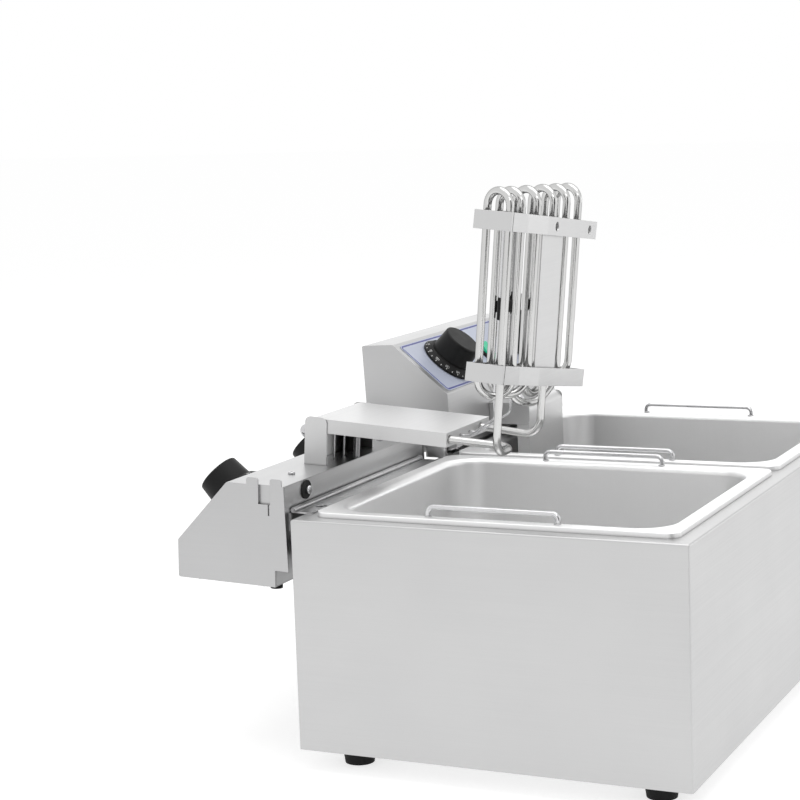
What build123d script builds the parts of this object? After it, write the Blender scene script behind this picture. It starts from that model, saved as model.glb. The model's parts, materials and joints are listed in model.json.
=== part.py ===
from build123d import *
import os
from math import atan2, cos, hypot, radians, sin

# Countertop double deep fryer, in millimetres.
# A sheet-steel cabinet carries two oil tanks side by side. Behind each tank a control head is hinged to
# the deck's back edge, and carries a heating element on an arm. The left head is tipped back with its
# element standing up, the right head is lowered with its element in the tank.
# +Z is up, the front is towards -Y, and the origin is under the middle of the whole fryer, on the table.

# Cabinet
CABINET_W = 680.0
CABINET_D = 384.0
CABINET_H = 240.0
CABINET_SHEET = 1.2
CABINET_EDGE_R = 2.0
FOOT_H = 20.0
FOOT_R = 17.0
FOOT_TIP_R = 14.0
FOOT_INSET = 42.0
FOOT_RECESS_R = 7.0
FOOT_RECESS = 9.0
SCREW_R = 3.0
SCREW_HEAD_R = 5.5
SCREW_HEAD_H = 4.0
NUT_R = 5.8
NUT_H = 5.0
SCREW_PAST = 2.0
SUPPORT_LAP = 5.0
FIT = 0.05

# Tanks
TANK_PITCH = 330.0
RIM_GAP = 14.0
RIM_L = 352.0
RIM_SETBACK = 16.0
RIM_H = 5.0
RIM_FLANGE = 17.0
RIM_CORNER_R = 12.0
RIM_EDGE_R = 6.0
TANK_CORNER_R = 32.0
TANK_UNDER = 23.8
TANK_FLOOR_R = 18.0
TANK_SHEET = 1.0
DECK_HOLE_GAP = 2.0

# Wire handles on the tank rims
HANDLE_L = 127.0
HANDLE_H = 9.2
HANDLE_R = 2.25
HANDLE_BEND_R = 6.0
HANDLE_INSET = 10.0

# Head hinges
HINGE_BEHIND = 12.5
HINGE_BARREL_R = 2.6
HINGE_PIN_R = 1.4
HINGE_LEAF_T = 1.2
HINGE_LEAF_D = 20.0
HINGE_INSET = 13.0
HINGE_KNUCKLES = 9
HINGE_GAP = 0.4
HEAD_TILT = 2.7
HEAD_LIFT = 85.3

# Head box: u runs forward from its back, v up from its bottom
HEAD_GAP = 14.0
HEAD_H = 115.5
HEAD_D = 97.3
TOP_D = 36.8
FRONT_H = 61.0
HEAD_SHEET = 1.0
HEAD_BEND_R = 2.0
SIDE_SHEET = 1.2
END_SHEET = 2.6
HOOK_POCKET = 1.6
HINGE_U = 73.0
HINGE_DROP = 3.0
NOTCH_U = 16.2
NOTCH_V = 9.8
SIDE_FLARE = 4.5
PRONG_OUT = 6.7
PRONG_R = 2.5
PRONG_LOW = 2.0
SLOT_LOW = 14.2
SLOT_HIGH = 26.9
PRONG_HIGH = 39.4
SLOT_DEPTH = 18.3
SLIT_DEPTH = 10.0
SLIT_W = 1.6

# Controls on the head's slope
LABEL_MARGIN = 8.5
LABEL_TOP = 4.5
LABEL_W = 74.0
LABEL_T = 0.6
LABEL_R = 5.0
KNOB_X = -87.0
TIMER_X = 103.0
KNOB_S = 42.0
KNOB_H = 32.5
KNOB_LIFT = 1.0
KNOB_R = 21.5
KNOB_BASE_R = 23.5
KNOB_EDGE_R = 2.0
SKIRT_R = 31.5
SKIRT_TOP_R = 26.0
SKIRT_EDGE = 1.6
SKIRT_H = 7.5
SHAFT_R = 3.0
SHAFT_IN_KNOB = 18.0
BUSH_R = 5.0
THERMOSTAT_SIZE = 36.0
THERMOSTAT_DEPTH = 28.0
ROCKER_X = 12.0
ROCKER_S = 48.0
ROCKER_L = 23.6
ROCKER_W = 14.0
ROCKER_RISE = 7.2
ROCKER_VALLEY = 5.4
ROCKER_SKIRT = 1.5
ROCKER_KEEL = 5.0
ROCKER_PIN_R = 1.2
ROCKER_PIN_OUT = 1.0
ROCKER_TILT = 8.0
ROCKER_GAP = 0.3
ROCKER_SWING = 0.9
BEZEL_L = 31.0
BEZEL_W = 21.0
BEZEL_T = 3.2
BEZEL_R = 2.0
BEZEL_EDGE = 0.7
SWITCH_WALL = 1.4
SWITCH_DEPTH = 22.0

# Safety switch under the head
PLUNGER_X = -113.0
PLUNGER_U = 87.0
PLUNGER_R = 4.2
PLUNGER_OUT = 5.6
PLUNGER_TRAVEL = 4.5
PLUNGER_TIP_R = 1.2
PLUNGER_COLLAR_R = 5.8
PLUNGER_COLLAR_T = 2.0
PLUNGER_TAIL = 6.0
PLUNGER_HOLE_GAP = 1.3
GROMMET_R = 9.0
GROMMET_NECK_R = 7.2
GROMMET_FLANGE = 1.6
MICROSWITCH_L = 20.0
MICROSWITCH_D = 14.0
MICROSWITCH_H = 16.0
MICROSWITCH_GAP = 0.5

# Other fittings of the head
LIMITER_X = 10.0
LIMITER_V = 72.0
LIMITER_R = 14.0
LIMITER_DEPTH = 24.0
TERMINAL_X = 95.0
TERMINAL_U = 40.0
TERMINAL_L = 60.0
TERMINAL_D = 22.0
TERMINAL_H = 18.0
GLAND_X = 100.0
GLAND_V = 42.0
GLAND_R = 12.0
GLAND_NECK_R = 8.0
GLAND_BORE_R = 4.5
GLAND_FLANGE = 5.0
GLAND_OUT = 14.0
GLAND_NUT_T = 5.0
BUMPER_INSET = 18.0
BUMPER_V = 18.0
BUMPER_R = 6.0
BUMPER_T = 5.0
PAN_R = 3.4
PAN_H = 2.2
PAN_SHANK_R = 1.7
PAN_SHANK_L = 6.0
FRONT_SCREW_X = 98.0
FRONT_SCREW_V = 23.0
BACK_SCREW_INSET = 9.0
BACK_SCREW_V = (26.0, 74.0, 96.0)
BUFFER_R = 8.0
BUFFER_BELOW = 45.0
BUFFER_X = 110.0
BUFFER_GAP = 0.6

# Arm: f runs forward and w up from the hinge axis
ARM_X = 5.5
ARM_W = 105.0
ARM_T = 14.0
ARM_FRONT = 69.5
ARM_OVER = 53.0
ARM_TURN = 0.7
ARM_SHEET = 1.5
BRIDGE_TOP = 40.0
BRIDGE_BOTTOM = 16.0
BRIDGE_R = 10.0
CHEEK_T = 1.2
CHEEK_PAST = 1.5
CHEEK_R = 6.0
SLEEVE_R = (5.0, 8.0)
SLEEVE_F = 48.0
DOME_R = 7.0
DOME_H = 9.0
DOME_FLANGE = 2.5
DOME_IN = 8.0
DOME_BACK = 15.0
STUD_R = 3.0
STUD_W = 8.5
STUD_NUT_R = 6.0
STUD_NUT_T = 5.0
STUD_INSIDE = 5.0

# Heating element
TUBE_R = 3.75
ELEMENT_X = 10.5
ELEMENT_OVER = 31.6
HAIRPIN_X = (-89.0, -60.0, -20.5, 21.5, 57.0, 89.5)
HAIRPIN_ORDER = (0, 1, 2, 4, 5, 3)
ROW_GAP = 26.5
ROW_STAGGER = 10.0
RUN_TURN = 1.3
RUN_BACK = 129.6
RUN_FRONT = 292.0
TIP_STEP = 1.23
LEG_X = (-40.0, 36.0)
LEG_INLET_W = 29.0
LEG_INLET_F = 8.0
LEG_BEND_R = 14.0
ELBOW_R = 17.0
LEG_STRAIGHT = 10.0
LEG_HOLE_GAP = 0.4

# Clamps, guard and sensors on the element
CLAMP_T = 1.2
CLAMP_W = 17.5
CLAMP_BACK = 124.0
CLAMP_BACK_TILT = 8.3
CLAMP_BACK_TAIL = 5.0
CLAMP_FRONT = 269.0
CLAMP_FRONT_TILT = 6.2
CLAMP_FRONT_TAIL = 14.0
CLAMP_MARGIN = 2.6
CLAMP_LIP = 2.0
CLAMP_FLAT = 41.0
CLAMP_RAMP = 39.0
CLAMP_DROP = 5.2
CLAMP_HOLE_R = 4.5
CLAMP_HOLE_IN = 20.0
CLAMP_HOLE_PITCH = 92.0
GUARD_X = 17.0
GUARD_W = 54.0
GUARD_T = 1.0
GUARD_PAST = 4.0
GUARD_FOOT_IN = 8.0
GUARD_FOOT_W = 14.0
GUARD_FOOT_D = 8.0
BULB_R = 3.0
BULB_L = 172.0
BULB_BACK = 113.6
BULB_INDEX = (1, 2)
TONGUE_PAST = 6.0
CAPILLARY_R = 1.0
CAPILLARY_BEND_R = 11.0
CAPILLARY_TURN = 89.6
CAPILLARY_EXIT_X = (-14.0, 8.0)
CAPILLARY_INLET_W = 24.0
CAPILLARY_HOLE_GAP = 0.4

# Places worked out from the sizes above
HINGE_Z = CABINET_H + HINGE_BARREL_R
RIM_TOP = CABINET_H + RIM_H
TANK_DEPTH = RIM_TOP - FOOT_H - CABINET_SHEET - TANK_UNDER
RIM_W = TANK_PITCH - RIM_GAP
SUPPORT_W = RIM_GAP + 2 * SUPPORT_LAP
HEAD_L = TANK_PITCH - HEAD_GAP
HINGE_L = HEAD_L - 2 * HINGE_INSET
BUMPER_X = HEAD_L / 2 - BUMPER_INSET
BACK_SCREW_X = HEAD_L / 2 - BACK_SCREW_INSET
SLOPE_ANGLE = atan2(HEAD_H - FRONT_H, HEAD_D - TOP_D)
ARM_BACK = ARM_FRONT - ARM_T
LEG_F = ARM_FRONT - ARM_T / 2
ROW_MID = RIM_TOP - TANK_DEPTH + TANK_SHEET + ELEMENT_OVER - HINGE_Z
ROW_UP = ROW_MID + ROW_GAP / 2
ROW_LOW = ROW_MID - ROW_GAP / 2
ARM_BOTTOM = ROW_MID + ARM_OVER

# The head box's side view, with u to the right and v up
SIDE = Plane(origin=(0, HINGE_U, HINGE_DROP), x_dir=(0, -1, 0), z_dir=(-1, 0, 0))
# The arm's side view, with f to the right and w up
ARM_SIDE = Plane(origin=(0, 0, 0), x_dir=(0, -1, 0), z_dir=(-1, 0, 0))
# The slope's outer face, with y up the slope from its upper edge and z outwards
PANEL = Plane(
    origin=(0, HINGE_U - TOP_D, HEAD_H + HINGE_DROP),
    x_dir=(1, 0, 0),
    z_dir=(0, -sin(SLOPE_ANGLE), cos(SLOPE_ANGLE)),
)
TILT = Rot(X=-HEAD_TILT)
# The arm leans forward a little from where the legs come out of the head
ARM_SET = Pos(0, -LEG_F, LEG_INLET_W) * Rot(X=-ARM_TURN) * Pos(0, LEG_F, -LEG_INLET_W)
# The runs lean back again from the arm's end
RUN_SET = ARM_SET * Pos(0, -LEG_F, ROW_MID) * Rot(X=RUN_TURN) * Pos(0, LEG_F, -ROW_MID)


def span(x0, x1, y0, y1, z0, z1):
    """A block between two corners."""
    middle = Pos((x0 + x1) / 2, (y0 + y1) / 2, (z0 + z1) / 2)
    return middle * Box(x1 - x0, y1 - y0, z1 - z0)


def head_span(x0, x1, u0, u1, v0, v1):
    """A block in the head box's own u and v."""
    return span(x0, x1, HINGE_U - u1, HINGE_U - u0, v0 + HINGE_DROP, v1 + HINGE_DROP)


def rod(start, end, radius):
    """A round bar between two points."""
    path = Vector(*end) - Vector(*start)
    section = Plane(origin=start, z_dir=path) * Circle(radius)
    return extrude(section, amount=path.length)


def hexagon(start, end, radius):
    """A six-sided bar between two points, such as a nut."""
    path = Vector(*end) - Vector(*start)
    section = Plane(origin=start, z_dir=path) * RegularPolygon(radius, 6)
    return extrude(section, amount=path.length)


def rounded_block(width, length, radius, z0, z1):
    """An upright block with rounded corners, centred on the Z axis."""
    return extrude(Pos(0, 0, z0) * RectangleRounded(width, length, radius), amount=z1 - z0)


def on_panel(x, s):
    """The place on the slope at x along the head and s down from the slope's upper edge."""
    return PANEL.location * Pos(x, -s, 0)


def box_point(x, u, v):
    """A point given in the head box's u and v, in the level frame at the hinge axis."""
    a = radians(HEAD_TILT)
    forward = (u - HINGE_U) * cos(a) - (v + HINGE_DROP) * sin(a)
    up = (u - HINGE_U) * sin(a) + (v + HINGE_DROP) * cos(a)
    return (x, -forward, up)


# Cabinet


def tank_middle():
    """The middle of the tank openings along Y, with the cabinet's back wall at Y 0."""
    return -RIM_SETBACK - RIM_L / 2


def cabinet_shell():
    """Four walls and the deck, folded from one sheet, with a hole for each tank."""
    shell = span(-CABINET_W / 2, CABINET_W / 2, -CABINET_D, 0, FOOT_H, CABINET_H)
    upright = shell.edges().filter_by(Axis.Z)
    top = shell.faces().sort_by(Axis.Z)[-1].edges()
    shell = fillet(upright + top, CABINET_EDGE_R)
    half = CABINET_W / 2 - CABINET_SHEET
    hollow_top = CABINET_H - CABINET_SHEET
    shell -= span(-half, half, CABINET_SHEET - CABINET_D, -CABINET_SHEET, 0, hollow_top)
    hole_w = RIM_W - 2 * RIM_FLANGE + 2 * (TANK_SHEET + DECK_HOLE_GAP)
    hole_l = RIM_L - 2 * RIM_FLANGE + 2 * (TANK_SHEET + DECK_HOLE_GAP)
    hole_r = TANK_CORNER_R + TANK_SHEET + DECK_HOLE_GAP
    for side in (-1, 1):
        hole = rounded_block(hole_w, hole_l, hole_r, hollow_top - 1, CABINET_H + 1)
        shell -= Pos(side * TANK_PITCH / 2, tank_middle(), 0) * hole
    for x, z in buffer_places():
        shell -= rod((x, 1, z), (x, -CABINET_SHEET - 1, z), SCREW_R)
    return shell


def foot_places():
    """The middles of the four feet."""
    xs = (FOOT_INSET - CABINET_W / 2, CABINET_W / 2 - FOOT_INSET)
    ys = (FOOT_INSET - CABINET_D, -FOOT_INSET)
    return [(x, y) for x in xs for y in ys]


def base_plate():
    """The floor of the cabinet, with the holes for the foot screws."""
    half = CABINET_W / 2 - CABINET_SHEET
    low = FOOT_H
    plate = span(-half, half, CABINET_SHEET - CABINET_D, -CABINET_SHEET, low, low + CABINET_SHEET)
    for x, y in foot_places():
        plate -= rod((x, y, low - 1), (x, y, low + CABINET_SHEET + 1), SCREW_R + FIT)
    return plate


def inner_support():
    """A channel between the tanks that carries the middle of the deck."""
    low = FOOT_H + CABINET_SHEET
    high = CABINET_H - CABINET_SHEET
    front = CABINET_SHEET - CABINET_D
    channel = span(-SUPPORT_W / 2, SUPPORT_W / 2, front, -CABINET_SHEET, low, high)
    inside = SUPPORT_W / 2 - CABINET_SHEET
    channel -= span(-inside, SUPPORT_W, front, -CABINET_SHEET, low + CABINET_SHEET, high - CABINET_SHEET)
    return channel


def rubber_feet():
    """Four tapered feet, hollowed from below for their screws."""
    feet = []
    for x, y in foot_places():
        foot = Pos(x, y, FOOT_H / 2) * Cone(FOOT_TIP_R, FOOT_R, FOOT_H)
        foot -= rod((x, y, 0), (x, y, FOOT_RECESS), FOOT_RECESS_R)
        foot -= rod((x, y, 0), (x, y, FOOT_H), SCREW_R + FIT)
        feet.append(foot)
    return Compound(children=feet)


def foot_screws():
    """A screw and a nut for each foot."""
    pieces = []
    floor = FOOT_H + CABINET_SHEET
    for x, y in foot_places():
        screw = rod((x, y, FOOT_RECESS - SCREW_HEAD_H), (x, y, FOOT_RECESS), SCREW_HEAD_R)
        screw += rod((x, y, FOOT_RECESS - SCREW_HEAD_H), (x, y, floor + NUT_H + SCREW_PAST), SCREW_R)
        nut = hexagon((x, y, floor), (x, y, floor + NUT_H), NUT_R)
        nut -= rod((x, y, floor - 1), (x, y, floor + NUT_H + 1), SCREW_R + FIT)
        pieces += [screw, nut]
    return Compound(children=pieces)


def buffer_places():
    """Where the stop buffers are screwed to the back wall."""
    xs = [side * TANK_PITCH / 2 + x for side in (-1, 1) for x in (-BUFFER_X, BUFFER_X)]
    return [(x, HINGE_Z - BUFFER_BELOW) for x in xs]


def stop_buffers():
    """Rubber buffers on the back wall that a tipped head leans on."""
    a = radians(HEAD_TILT + HEAD_LIFT)
    plate = HINGE_BEHIND + (HINGE_DROP + (BUFFER_BELOW - BUFFER_R) * cos(a)) / sin(a)
    reach = plate - BUFFER_GAP
    pieces = []
    for x, z in buffer_places():
        buffer = rod((x, 0, z), (x, reach, z), BUFFER_R)
        buffer += rod((x, 0, z), (x, -CABINET_SHEET, z), SCREW_R - FIT)
        pieces.append(buffer)
    return Compound(children=pieces)


# Tanks


def tank():
    """A deep-drawn tank with a flat rim whose edge is turned down onto the deck."""
    inner_w = RIM_W - 2 * RIM_FLANGE
    inner_l = RIM_L - 2 * RIM_FLANGE
    floor = RIM_TOP - TANK_DEPTH
    under = RIM_TOP - TANK_SHEET
    outer = rounded_block(
        inner_w + 2 * TANK_SHEET, inner_l + 2 * TANK_SHEET, TANK_CORNER_R + TANK_SHEET, floor, under
    )
    low_edges = outer.faces().sort_by(Axis.Z)[0].edges()
    outer = fillet(low_edges, TANK_FLOOR_R)
    outer += rounded_block(RIM_W, RIM_L, RIM_CORNER_R, under, RIM_TOP)
    neck = [e for e in outer.edges() if on_outline(e, under, inner_w / 2 + TANK_SHEET, inner_l / 2 + TANK_SHEET)]
    outer = fillet(neck, RIM_EDGE_R - TANK_SHEET)
    cavity = rounded_block(inner_w, inner_l, TANK_CORNER_R, floor + TANK_SHEET, RIM_TOP)
    cavity = fillet(cavity.faces().sort_by(Axis.Z)[0].edges(), TANK_FLOOR_R - TANK_SHEET)
    body = outer - cavity
    mouth = [e for e in body.edges() if on_outline(e, RIM_TOP, inner_w / 2, inner_l / 2)]
    body = fillet(mouth, RIM_EDGE_R)
    skirt = rounded_block(RIM_W, RIM_L, RIM_CORNER_R, CABINET_H, under)
    skirt -= rounded_block(
        RIM_W - 2 * TANK_SHEET, RIM_L - 2 * TANK_SHEET, RIM_CORNER_R - TANK_SHEET, CABINET_H, under
    )
    body += skirt
    brim = [e for e in body.edges() if on_outline(e, RIM_TOP, RIM_W / 2, RIM_L / 2)]
    return fillet(brim, TANK_SHEET)


def on_outline(edge, z, half_w, half_l):
    """Whether an edge is level at z and part of a rounded rectangle of these half sizes."""
    box = edge.bounding_box()
    level = abs(box.min.Z - z) < 1e-3 and abs(box.max.Z - z) < 1e-3
    reach_x = max(abs(box.min.X), abs(box.max.X))
    reach_y = max(abs(box.min.Y), abs(box.max.Y))
    within = reach_x < half_w + 1e-3 and reach_y < half_l + 1e-3
    touches = abs(reach_x - half_w) < 1e-3 or abs(reach_y - half_l) < 1e-3
    return level and within and touches


def tank_handles():
    """Two low wire handles on each tank's rim, standing on its inner edge."""
    low = RIM_TOP
    high = RIM_TOP + HANDLE_H
    y0 = tank_middle() - HANDLE_L / 2
    y1 = tank_middle() + HANDLE_L / 2
    pieces = []
    for side in (-1, 1):
        for hand in (-1, 1):
            x = side * TANK_PITCH / 2 + hand * (RIM_W / 2 - HANDLE_INSET)
            corners = [(x, y0, low), (x, y0, high), (x, y1, high), (x, y1, low)]
            path = FilletPolyline(*corners, radius=HANDLE_BEND_R)
            section = Plane(origin=corners[0], z_dir=(0, 0, 1)) * Circle(HANDLE_R)
            pieces.append(sweep(section, path=path))
    return Compound(children=pieces)


# Hinges


def knuckles():
    """The stretches of a hinge along X, from left to right."""
    pitch = HINGE_L / HINGE_KNUCKLES
    starts = [-HINGE_L / 2 + i * pitch for i in range(HINGE_KNUCKLES)]
    return [(s + HINGE_GAP / 2, s + pitch - HINGE_GAP / 2) for s in starts]


def hinge_half(plate, first, keep_side):
    """One leaf of a hinge: its plate, cleared round the other leaf's knuckles, and its own knuckles."""
    leaf = plate
    clear = HINGE_BARREL_R + HINGE_GAP
    for i, (x0, x1) in enumerate(knuckles()):
        if i % 2 == first:
            leaf += rod((x0, 0, 0), (x1, 0, 0), HINGE_BARREL_R)
        else:
            y0, y1 = (-clear, HINGE_LEAF_D) if keep_side < 0 else (-HINGE_LEAF_D, clear)
            leaf -= span(x0 - HINGE_GAP, x1 + HINGE_GAP, y0, y1, -clear, clear)
    return leaf - rod((-HINGE_L, 0, 0), (HINGE_L, 0, 0), HINGE_PIN_R + FIT)


def fixed_leaf():
    """The leaf that lies on the deck, with the outer knuckles and a hole for the safety plunger."""
    low = -HINGE_BARREL_R
    plate = span(-HINGE_L / 2, HINGE_L / 2, -HINGE_BEHIND - RIM_SETBACK / 2, 0, low, low + HINGE_LEAF_T)
    plate -= plunger_rod(-HEAD_H, HEAD_H, PLUNGER_R + PLUNGER_HOLE_GAP)
    return hinge_half(plate, 0, -1)


def moving_leaf():
    """The leaf under the head's bottom plate."""
    high = HINGE_DROP
    plate = span(-HINGE_L / 2, HINGE_L / 2, 0, HINGE_LEAF_D, high - HINGE_LEAF_T, high)
    return hinge_half(plate, 1, 1)


def hinge_pin():
    """The pin through a hinge's knuckles."""
    return rod((-HINGE_L / 2, 0, 0), (HINGE_L / 2, 0, 0), HINGE_PIN_R)


# Head box


def head_outline():
    """The head box's side view with its folded edges rounded."""
    corners = [(0, 0), (0, HEAD_H), (TOP_D, HEAD_H), (HEAD_D, FRONT_H), (HEAD_D, 0)]
    face = make_face(Polyline(*corners, close=True))
    folded = face.vertices().filter_by_position(Axis.Y, FRONT_H - 1, HEAD_H + 1)
    return fillet(folded, HEAD_BEND_R)


def head_casing():
    """Back, top, slope, front and ends of the head, open below."""
    half = HEAD_L / 2 - SIDE_SHEET
    inner = half - END_SHEET
    casing = extrude(SIDE * head_outline(), amount=half, both=True)
    hollow = offset(head_outline(), -HEAD_SHEET, kind=Kind.INTERSECTION)
    casing -= extrude(SIDE * hollow, amount=inner, both=True)
    casing -= head_span(-inner, inner, HEAD_SHEET, HEAD_D - HEAD_SHEET, -1, HEAD_H / 4)
    casing -= head_span(-HEAD_L, HEAD_L, -1, NOTCH_U, -1, NOTCH_V)
    for x in (-half, half - HOOK_POCKET):
        casing -= head_span(x, x + HOOK_POCKET, HEAD_D - SLOT_DEPTH, HEAD_D + 1, SLOT_LOW, SLOT_HIGH)
    for x in (KNOB_X, TIMER_X):
        casing -= on_panel(x, KNOB_S) * Cylinder(BUSH_R + FIT, 4 * HEAD_SHEET)
    casing -= on_panel(ROCKER_X, ROCKER_S) * switch_hole(4 * HEAD_SHEET)
    for x, v in front_screw_places():
        casing -= head_rod(x, HEAD_D - 2 * HEAD_SHEET, HEAD_D + 1, v, PAN_SHANK_R + FIT)
    for x, v in back_screw_places():
        casing -= head_rod(x, -1, 2 * HEAD_SHEET, v, PAN_SHANK_R + FIT)
    casing -= head_rod(GLAND_X, -1, 2 * HEAD_SHEET, GLAND_V, GLAND_NECK_R + FIT)
    for x in (-BUMPER_X, BUMPER_X):
        casing -= head_rod(x, -1, 2 * HEAD_SHEET, BUMPER_V, PAN_SHANK_R + FIT)
    casing = TILT * casing
    for piece in front_passages():
        casing -= piece
    return casing


def head_rod(x, u0, u1, v, radius):
    """A round bar along u in the head box."""
    y0 = HINGE_U - u0
    y1 = HINGE_U - u1
    z = v + HINGE_DROP
    return rod((x, y0, z), (x, y1, z), radius)


def front_screw_places():
    """Pan screws on the head's front."""
    return [(-FRONT_SCREW_X, FRONT_SCREW_V), (FRONT_SCREW_X, FRONT_SCREW_V)]


def back_screw_places():
    """Pan screws on the head's back."""
    return [(x, v) for x in (-BACK_SCREW_X, BACK_SCREW_X) for v in BACK_SCREW_V]


def front_passages():
    """Holes in the head's front for the element's legs, the sensors and the arm's stud."""
    _, y, _ = box_point(0, HEAD_D, 0)
    near = y + 10 * HEAD_SHEET
    far = y - 10 * HEAD_SHEET
    holes = [((x, LEG_INLET_W), TUBE_R + LEG_HOLE_GAP) for x in LEG_X]
    holes += [((x, CAPILLARY_INLET_W), CAPILLARY_R + CAPILLARY_HOLE_GAP) for x in CAPILLARY_EXIT_X]
    holes += [((ARM_X, STUD_W), STUD_R + FIT)]
    return [rod((x, near, w), (x, far, w), radius) for (x, w), radius in holes]


def side_plates():
    """The plates over the head's ends, each with two prongs that make a hook open to the front."""
    tip = HEAD_D + PRONG_OUT
    plate = head_outline()
    for low, high in ((PRONG_LOW, SLOT_LOW), (SLOT_HIGH, PRONG_HIGH)):
        root = HEAD_D - SLOT_DEPTH
        prong = Pos((root + tip) / 2, (low + high) / 2) * Rectangle(tip - root, high - low)
        ends = prong.vertices().filter_by_position(Axis.X, tip - 1, tip + 1)
        plate += fillet(ends, PRONG_R)
    slot_mid = (SLOT_LOW + SLOT_HIGH) / 2
    root = HEAD_D - SLOT_DEPTH
    plate -= Pos((root + tip) / 2, slot_mid) * Rectangle(tip - root, SLOT_HIGH - SLOT_LOW)
    slit_v = SLOT_LOW + SLIT_W
    plate -= Pos(root - SLIT_DEPTH / 2, slit_v) * Rectangle(SLIT_DEPTH + 1, SLIT_W)
    plate -= Pos(NOTCH_U / 2, NOTCH_V / 2) * Rectangle(NOTCH_U, NOTCH_V)
    plate += make_face(Polyline((NOTCH_U, 0), (HEAD_D, 0), (NOTCH_U, -SIDE_FLARE), close=True))
    half = HEAD_L / 2
    sheet = extrude(SIDE * plate, amount=SIDE_SHEET)
    return Compound(children=[TILT * (Pos(x, 0, 0) * sheet) for x in (SIDE_SHEET - half, half)])


def head_bottom():
    """The plate that closes the head from below, stepped up at its back, with the safety switch's hole."""
    half = HEAD_L / 2 - SIDE_SHEET - END_SHEET
    step = NOTCH_U + HEAD_SHEET
    shelf = NOTCH_V + HEAD_SHEET
    plate = head_span(-half, half, NOTCH_U, HEAD_D - HEAD_SHEET, 0, HEAD_SHEET)
    plate += head_span(-half, half, NOTCH_U, step, 0, shelf)
    plate += head_span(-half, half, HEAD_SHEET, step, NOTCH_V, shelf)
    plate -= plunger_rod(-1, HEAD_SHEET + 1, GROMMET_NECK_R + FIT)
    return TILT * plate


def label_plate():
    """The printed plate on the slope, with holes for the two regulators and the switch."""
    plate = extrude(RectangleRounded(HEAD_L - 2 * LABEL_MARGIN, LABEL_W, LABEL_R), amount=LABEL_T)
    plate = on_panel(0, LABEL_TOP + LABEL_W / 2) * plate
    for x in (KNOB_X, TIMER_X):
        plate -= on_panel(x, KNOB_S) * Cylinder(BUSH_R + FIT, 4 * HEAD_SHEET)
    plate -= on_panel(ROCKER_X, ROCKER_S) * switch_hole(4 * HEAD_SHEET)
    return TILT * plate


def switch_hole(depth):
    """The cut-out for the rocker switch."""
    length = pocket_length() + 2 * SWITCH_WALL + 2 * FIT
    width = pocket_width() + 2 * SWITCH_WALL + 2 * FIT
    return Box(width, length, depth)


# Controls


def turned_knob():
    """A round grip on a conical skirt that carries the scale, with the shaft it turns."""
    low = LABEL_T + KNOB_LIFT
    skirt = Pos(0, 0, low + SKIRT_EDGE / 2) * Cylinder(SKIRT_R, SKIRT_EDGE)
    cone_h = SKIRT_H - SKIRT_EDGE
    skirt += Pos(0, 0, low + SKIRT_EDGE + cone_h / 2) * Cone(SKIRT_R, SKIRT_TOP_R, cone_h)
    grip_low = low + SKIRT_H
    grip_h = KNOB_H - grip_low
    grip = Pos(0, 0, grip_low + grip_h / 2) * Cone(KNOB_BASE_R, KNOB_R, grip_h)
    grip = fillet(grip.faces().sort_by(Axis.Z)[-1].edges(), KNOB_EDGE_R)
    turned = skirt + grip
    turned -= rod((0, 0, low - 1), (0, 0, low + SKIRT_EDGE), BUSH_R + 1)
    foot = -HEAD_SHEET - THERMOSTAT_DEPTH / 2
    return turned + rod((0, 0, foot), (0, 0, low + SHAFT_IN_KNOB), SHAFT_R)


def knob():
    """The thermostat's knob."""
    return TILT * (on_panel(KNOB_X, KNOB_S) * turned_knob())


def timer_knob():
    """The timer's knob."""
    return TILT * (on_panel(TIMER_X, KNOB_S) * turned_knob())


def regulators():
    """The thermostat and the timer behind the slope, each with its threaded bush."""
    high = -HEAD_SHEET
    half = THERMOSTAT_SIZE / 2
    body = span(-half, half, -half, half, high - THERMOSTAT_DEPTH, high)
    body += rod((0, 0, high), (0, 0, LABEL_T + KNOB_LIFT / 2), BUSH_R)
    body -= rod((0, 0, high - THERMOSTAT_DEPTH / 2), (0, 0, KNOB_H), SHAFT_R + FIT)
    return Compound(children=[TILT * (on_panel(x, KNOB_S) * body) for x in (KNOB_X, TIMER_X)])


def pocket_length():
    """The length of the pocket that the rocker swings in."""
    return ROCKER_L + 2 * ROCKER_SWING


def pocket_width():
    """The width of the pocket that the rocker swings in."""
    return ROCKER_W + 2 * ROCKER_GAP


def switch_housing():
    """The switch body behind the slope, with its bezel and the pocket for the rocker."""
    body_l = pocket_length() + 2 * SWITCH_WALL
    body_w = pocket_width() + 2 * SWITCH_WALL
    face = LABEL_T + BEZEL_T
    bezel = extrude(Pos(0, 0, LABEL_T) * RectangleRounded(BEZEL_W, BEZEL_L, BEZEL_R), amount=BEZEL_T)
    bezel = chamfer(bezel.faces().sort_by(Axis.Z)[-1].edges(), BEZEL_EDGE)
    housing = bezel + span(-body_w / 2, body_w / 2, -body_l / 2, body_l / 2, -SWITCH_DEPTH, LABEL_T)
    pocket_floor = LABEL_T - ROCKER_KEEL - ROCKER_SWING
    half_w = pocket_width() / 2
    half_l = pocket_length() / 2
    housing -= span(-half_w, half_w, -half_l, half_l, pocket_floor, face + 1)
    pin = half_w + ROCKER_PIN_OUT
    housing -= rod((-pin, 0, LABEL_T), (pin, 0, LABEL_T), ROCKER_PIN_R + FIT)
    return TILT * (on_panel(ROCKER_X, ROCKER_S) * housing)


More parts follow.
